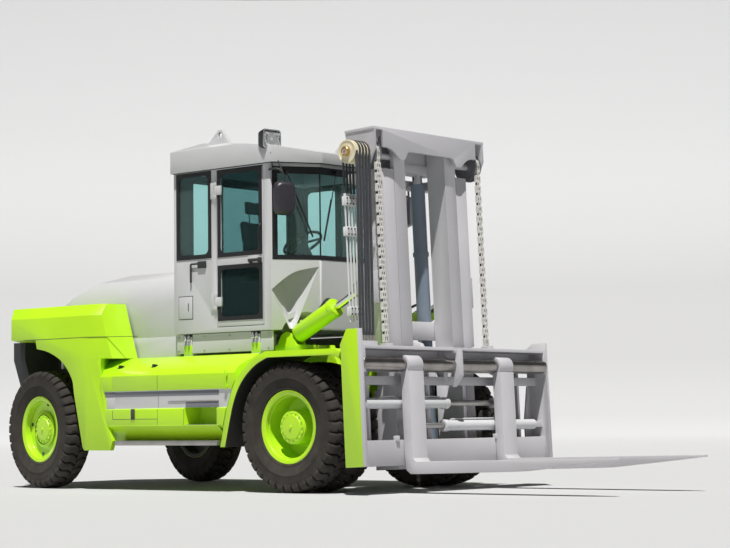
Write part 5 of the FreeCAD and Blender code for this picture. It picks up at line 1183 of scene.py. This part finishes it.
# ---- Tilt cylinders: a screwed gland on each lime barrel, welded ports, and rubber pressure hoses looped
# back to the frame with slack for the cylinder's swing.
tilt_back, tilt_eye = Vector((AXLE_X - 0.420, 0, 1.462)), Vector((AXLE_X + 0.478, 0, 1.902))
tilt_line, TILT_PORTS = (tilt_eye - tilt_back).normalized(), (0.140, 0.560)
for side, hand in HANDS:
    rounded_copy("tilt_barrel_" + hand, 0.004)
    foot = tilt_back + Vector((0, side * 0.70, 0))
    place = Matrix.Translation(foot + tilt_line * 0.640) @ tilt_line.to_track_quat("Y", "Z").to_matrix().to_4x4()
    gland = spun("gland", [(0.089, -0.055), (0.094, -0.050), (0.094, -0.012), (0.089, -0.004), (0.060, 0.002),
                           (0.052, 0.004), (0.0405, 0.004)], 48)
    gland.data.transform(place)
    ports = []
    for along in TILT_PORTS:
        port = foot + tilt_line * along + Vector((0, 0, 0.090))
        ports.append(tube("port", [port - Vector((0, 0, 0.02)), port + Vector((0, 0, 0.022))], 0.021, 3))
    fit("tilt_gland_" + hand, [gland] + ports, "lime_paint", "tilt_barrel_" + hand)
    near, far = (foot + tilt_line * along for along in TILT_PORTS)
    runs = ([(far, 0, 0, 0.100), (far, -0.02, 0, 0.120), (far, -0.10, -0.03, 0.108), (far, -0.26, -0.10, 0.005),
             (near, -0.02, -0.12, 0.060), (near, -0.08, -0.14, -0.02)],
            [(near, 0, 0, 0.100), (near, -0.01, 0, 0.120), (near, -0.06, -0.05, 0.104), (near, -0.10, -0.11, 0.06),
             (near, -0.08, -0.12, -0.04)])
    hoses = [tube("hose", [spot + Vector((x, side * y, z)) for spot, x, y, z in run], 0.0125) for run in runs]
    fit("tilt_hoses_" + hand, hoses, "hose_rubber", "tilt_barrel_" + hand)


# ---- Fork frame: the hanger shaft is bare tarnished bar, the centre support a flame-cut plate in front of
# it, the roller ears low and hollow at the front, and the positioners white with dark rods.
SHAFT_R, SHAFT_END = 0.066, 1.374
shaft_steel = finish_material("shaft_steel", (0.33, 0.315, 0.30), 0.20, metal=0.95, spread=0.25, scale=5,
                              peel=(200, 0.05))
shaft = spun("hanger_shaft", [(0.0, -SHAFT_END), (SHAFT_R - 0.006, -SHAFT_END), (SHAFT_R, -SHAFT_END + 0.006),
                              (SHAFT_R, SHAFT_END - 0.006), (SHAFT_R - 0.006, SHAFT_END), (0.0, SHAFT_END)], 48)
placed_on_mast(shaft, 1.060, 0, 1.140)
dress(shaft, shaft_steel, "carriage", stands_for=["fork_shaft"])
frame_skin, upright_place = finished["carriage_frame"], LEAN.inverted()
EAR_FOOT, EAR_TALL, HORN_FOOT, HORN_KEPT, FORK_WIDTH_KEPT = 1.307, 0.313, 1.323, 0.42, 0.86
for v in frame_skin.data.vertices:
    place = upright_place @ v.co
    if place.z > EAR_FOOT + 0.005 and 0.24 < abs(place.y) < 0.31:
        place.z = EAR_FOOT + (0.090 if place.y < 0 else 0.030) * (place.z - EAR_FOOT) / EAR_TALL
        v.co = LEAN @ place
for skin in (frame_skin, bpy.data.objects["carriage_sides"]):
    for v in skin.data.vertices:
        place = upright_place @ v.co
        if place.z > HORN_FOOT and place.y > 1.35:
            place.z = HORN_FOOT + HORN_KEPT * (place.z - HORN_FOOT)
            v.co = LEAN @ place
for hand in ("right", "left"):
    verts = finished["fork_" + hand].data.vertices
    middle = (min(v.co.y for v in verts) + max(v.co.y for v in verts)) / 2
    for v in verts:
        v.co.y = middle + FORK_WIDTH_KEPT * (v.co.y - middle)
old_hook = plate_box((0.9665, -0.082, 0.880), (1.200, -0.008, 1.2765), 0.0001)
cut_from(frame_skin, leaned([old_hook])[0])
flange_side = [(1.380, 0.250), (1.280, 0.250), (1.285, 0.640), (1.350, 0.960), (1.380, 0.960)]
flanges = [prism("flange", *([on_mast(x, side * y, z) for y, z in flange_side] for x in (0.868, 0.884)))
           for side in (-1, 1)]
fit("side_flanges", flanges, "mast_paint", "carriage")
support_side = [(0.960, 1.290), (1.158, 1.290), (1.160, 1.040), (1.066, 0.936), (1.082, 1.020), (1.104, 1.140),
                (1.122, 1.250), (0.960, 1.270)]
support = prism("centre_support", *([on_mast(x, y, z) for x, z in support_side] for y in (-0.076, -0.014)))
dress(edge_rounded(support, 0.002), "mast_paint", "carriage")
POSITIONER_X = 0.985
white_barrel = finish_material("barrel_white", (0.5954, 0.6046, 0.6226), 0.33, spread=0.05, coat=0.3)
node_names["positioner_barrels"].data.materials[0] = white_barrel
for hand, side, z, near in (("left", 1, 0.790, -0.075), ("right", -1, 0.580, 0.125)):
    rod = tube("rod", [on_mast(POSITIONER_X, y, z) for y in (near, (near + side * 0.64) / 2, side * 0.64)], 0.0268, 6)
    dress(rod, "steel", "fork_" + hand).name = "positioner_rod_" + hand
glands = []
for z, end, side in ((0.790, -0.090, -1), (0.580, -0.140, 1)):
    ring = spun("gland", [(0.030, 0.012), (0.052, 0.012), (0.056, 0.008), (0.056, -0.050), (0.051, -0.054)], 40)
    ring.data.transform(Matrix.Scale(-side, 4, (0, 1, 0)))
    glands.append(placed_on_mast(ring, POSITIONER_X, end, z))
    for along in (0.10, 0.95):
        port = end + side * along
        glands.append(tube("port", [on_mast(POSITIONER_X, port, z + rise) for rise in (0.040, 0.062)], 0.016, 3))
    glands.append(tube("line", [on_mast(POSITIONER_X, end + side * along, z + rise) for along, rise in (
        (0.10, 0.056), (0.13, 0.064), (0.92, 0.064), (0.95, 0.056))], 0.007))
dress(face_outward(joined("positioner_glands", glands)), white_barrel, "carriage")
stops = [plate_box((1.018, y - 0.022, 0.440), (1.064, y + 0.022, 0.492), 0.006) for y in (-0.896, 0.585)]
fit("fork_stops", leaned(stops), "mast_paint", "carriage")
head_bolts = [hexagon(0.016, 0.014, Vector((x, side * y, 3.362)), (0, 0, 1)) for side in (-1, 1)
              for x in (0.620, 0.700) for y in (0.330, 0.430)]
fit("head_bolts", leaned(head_bolts), "steel", "mast_inner")

# ---- Rear fittings: red tail lamps sit in their pockets in the rear cover.
lens_red = finish_material("lens_red", (0.45, 0.012, 0.010), 0.18, spread=0.12, scale=90, peel=(260, 0.4), coat=0.6)
tails = [plate_box((AXLE_X - 4.447, -0.633, 1.647), (AXLE_X - 4.426, -0.507, 1.713), 0.008)]
dress(mirrored_pair("tail_lamps", tails), lens_red, "chassis")
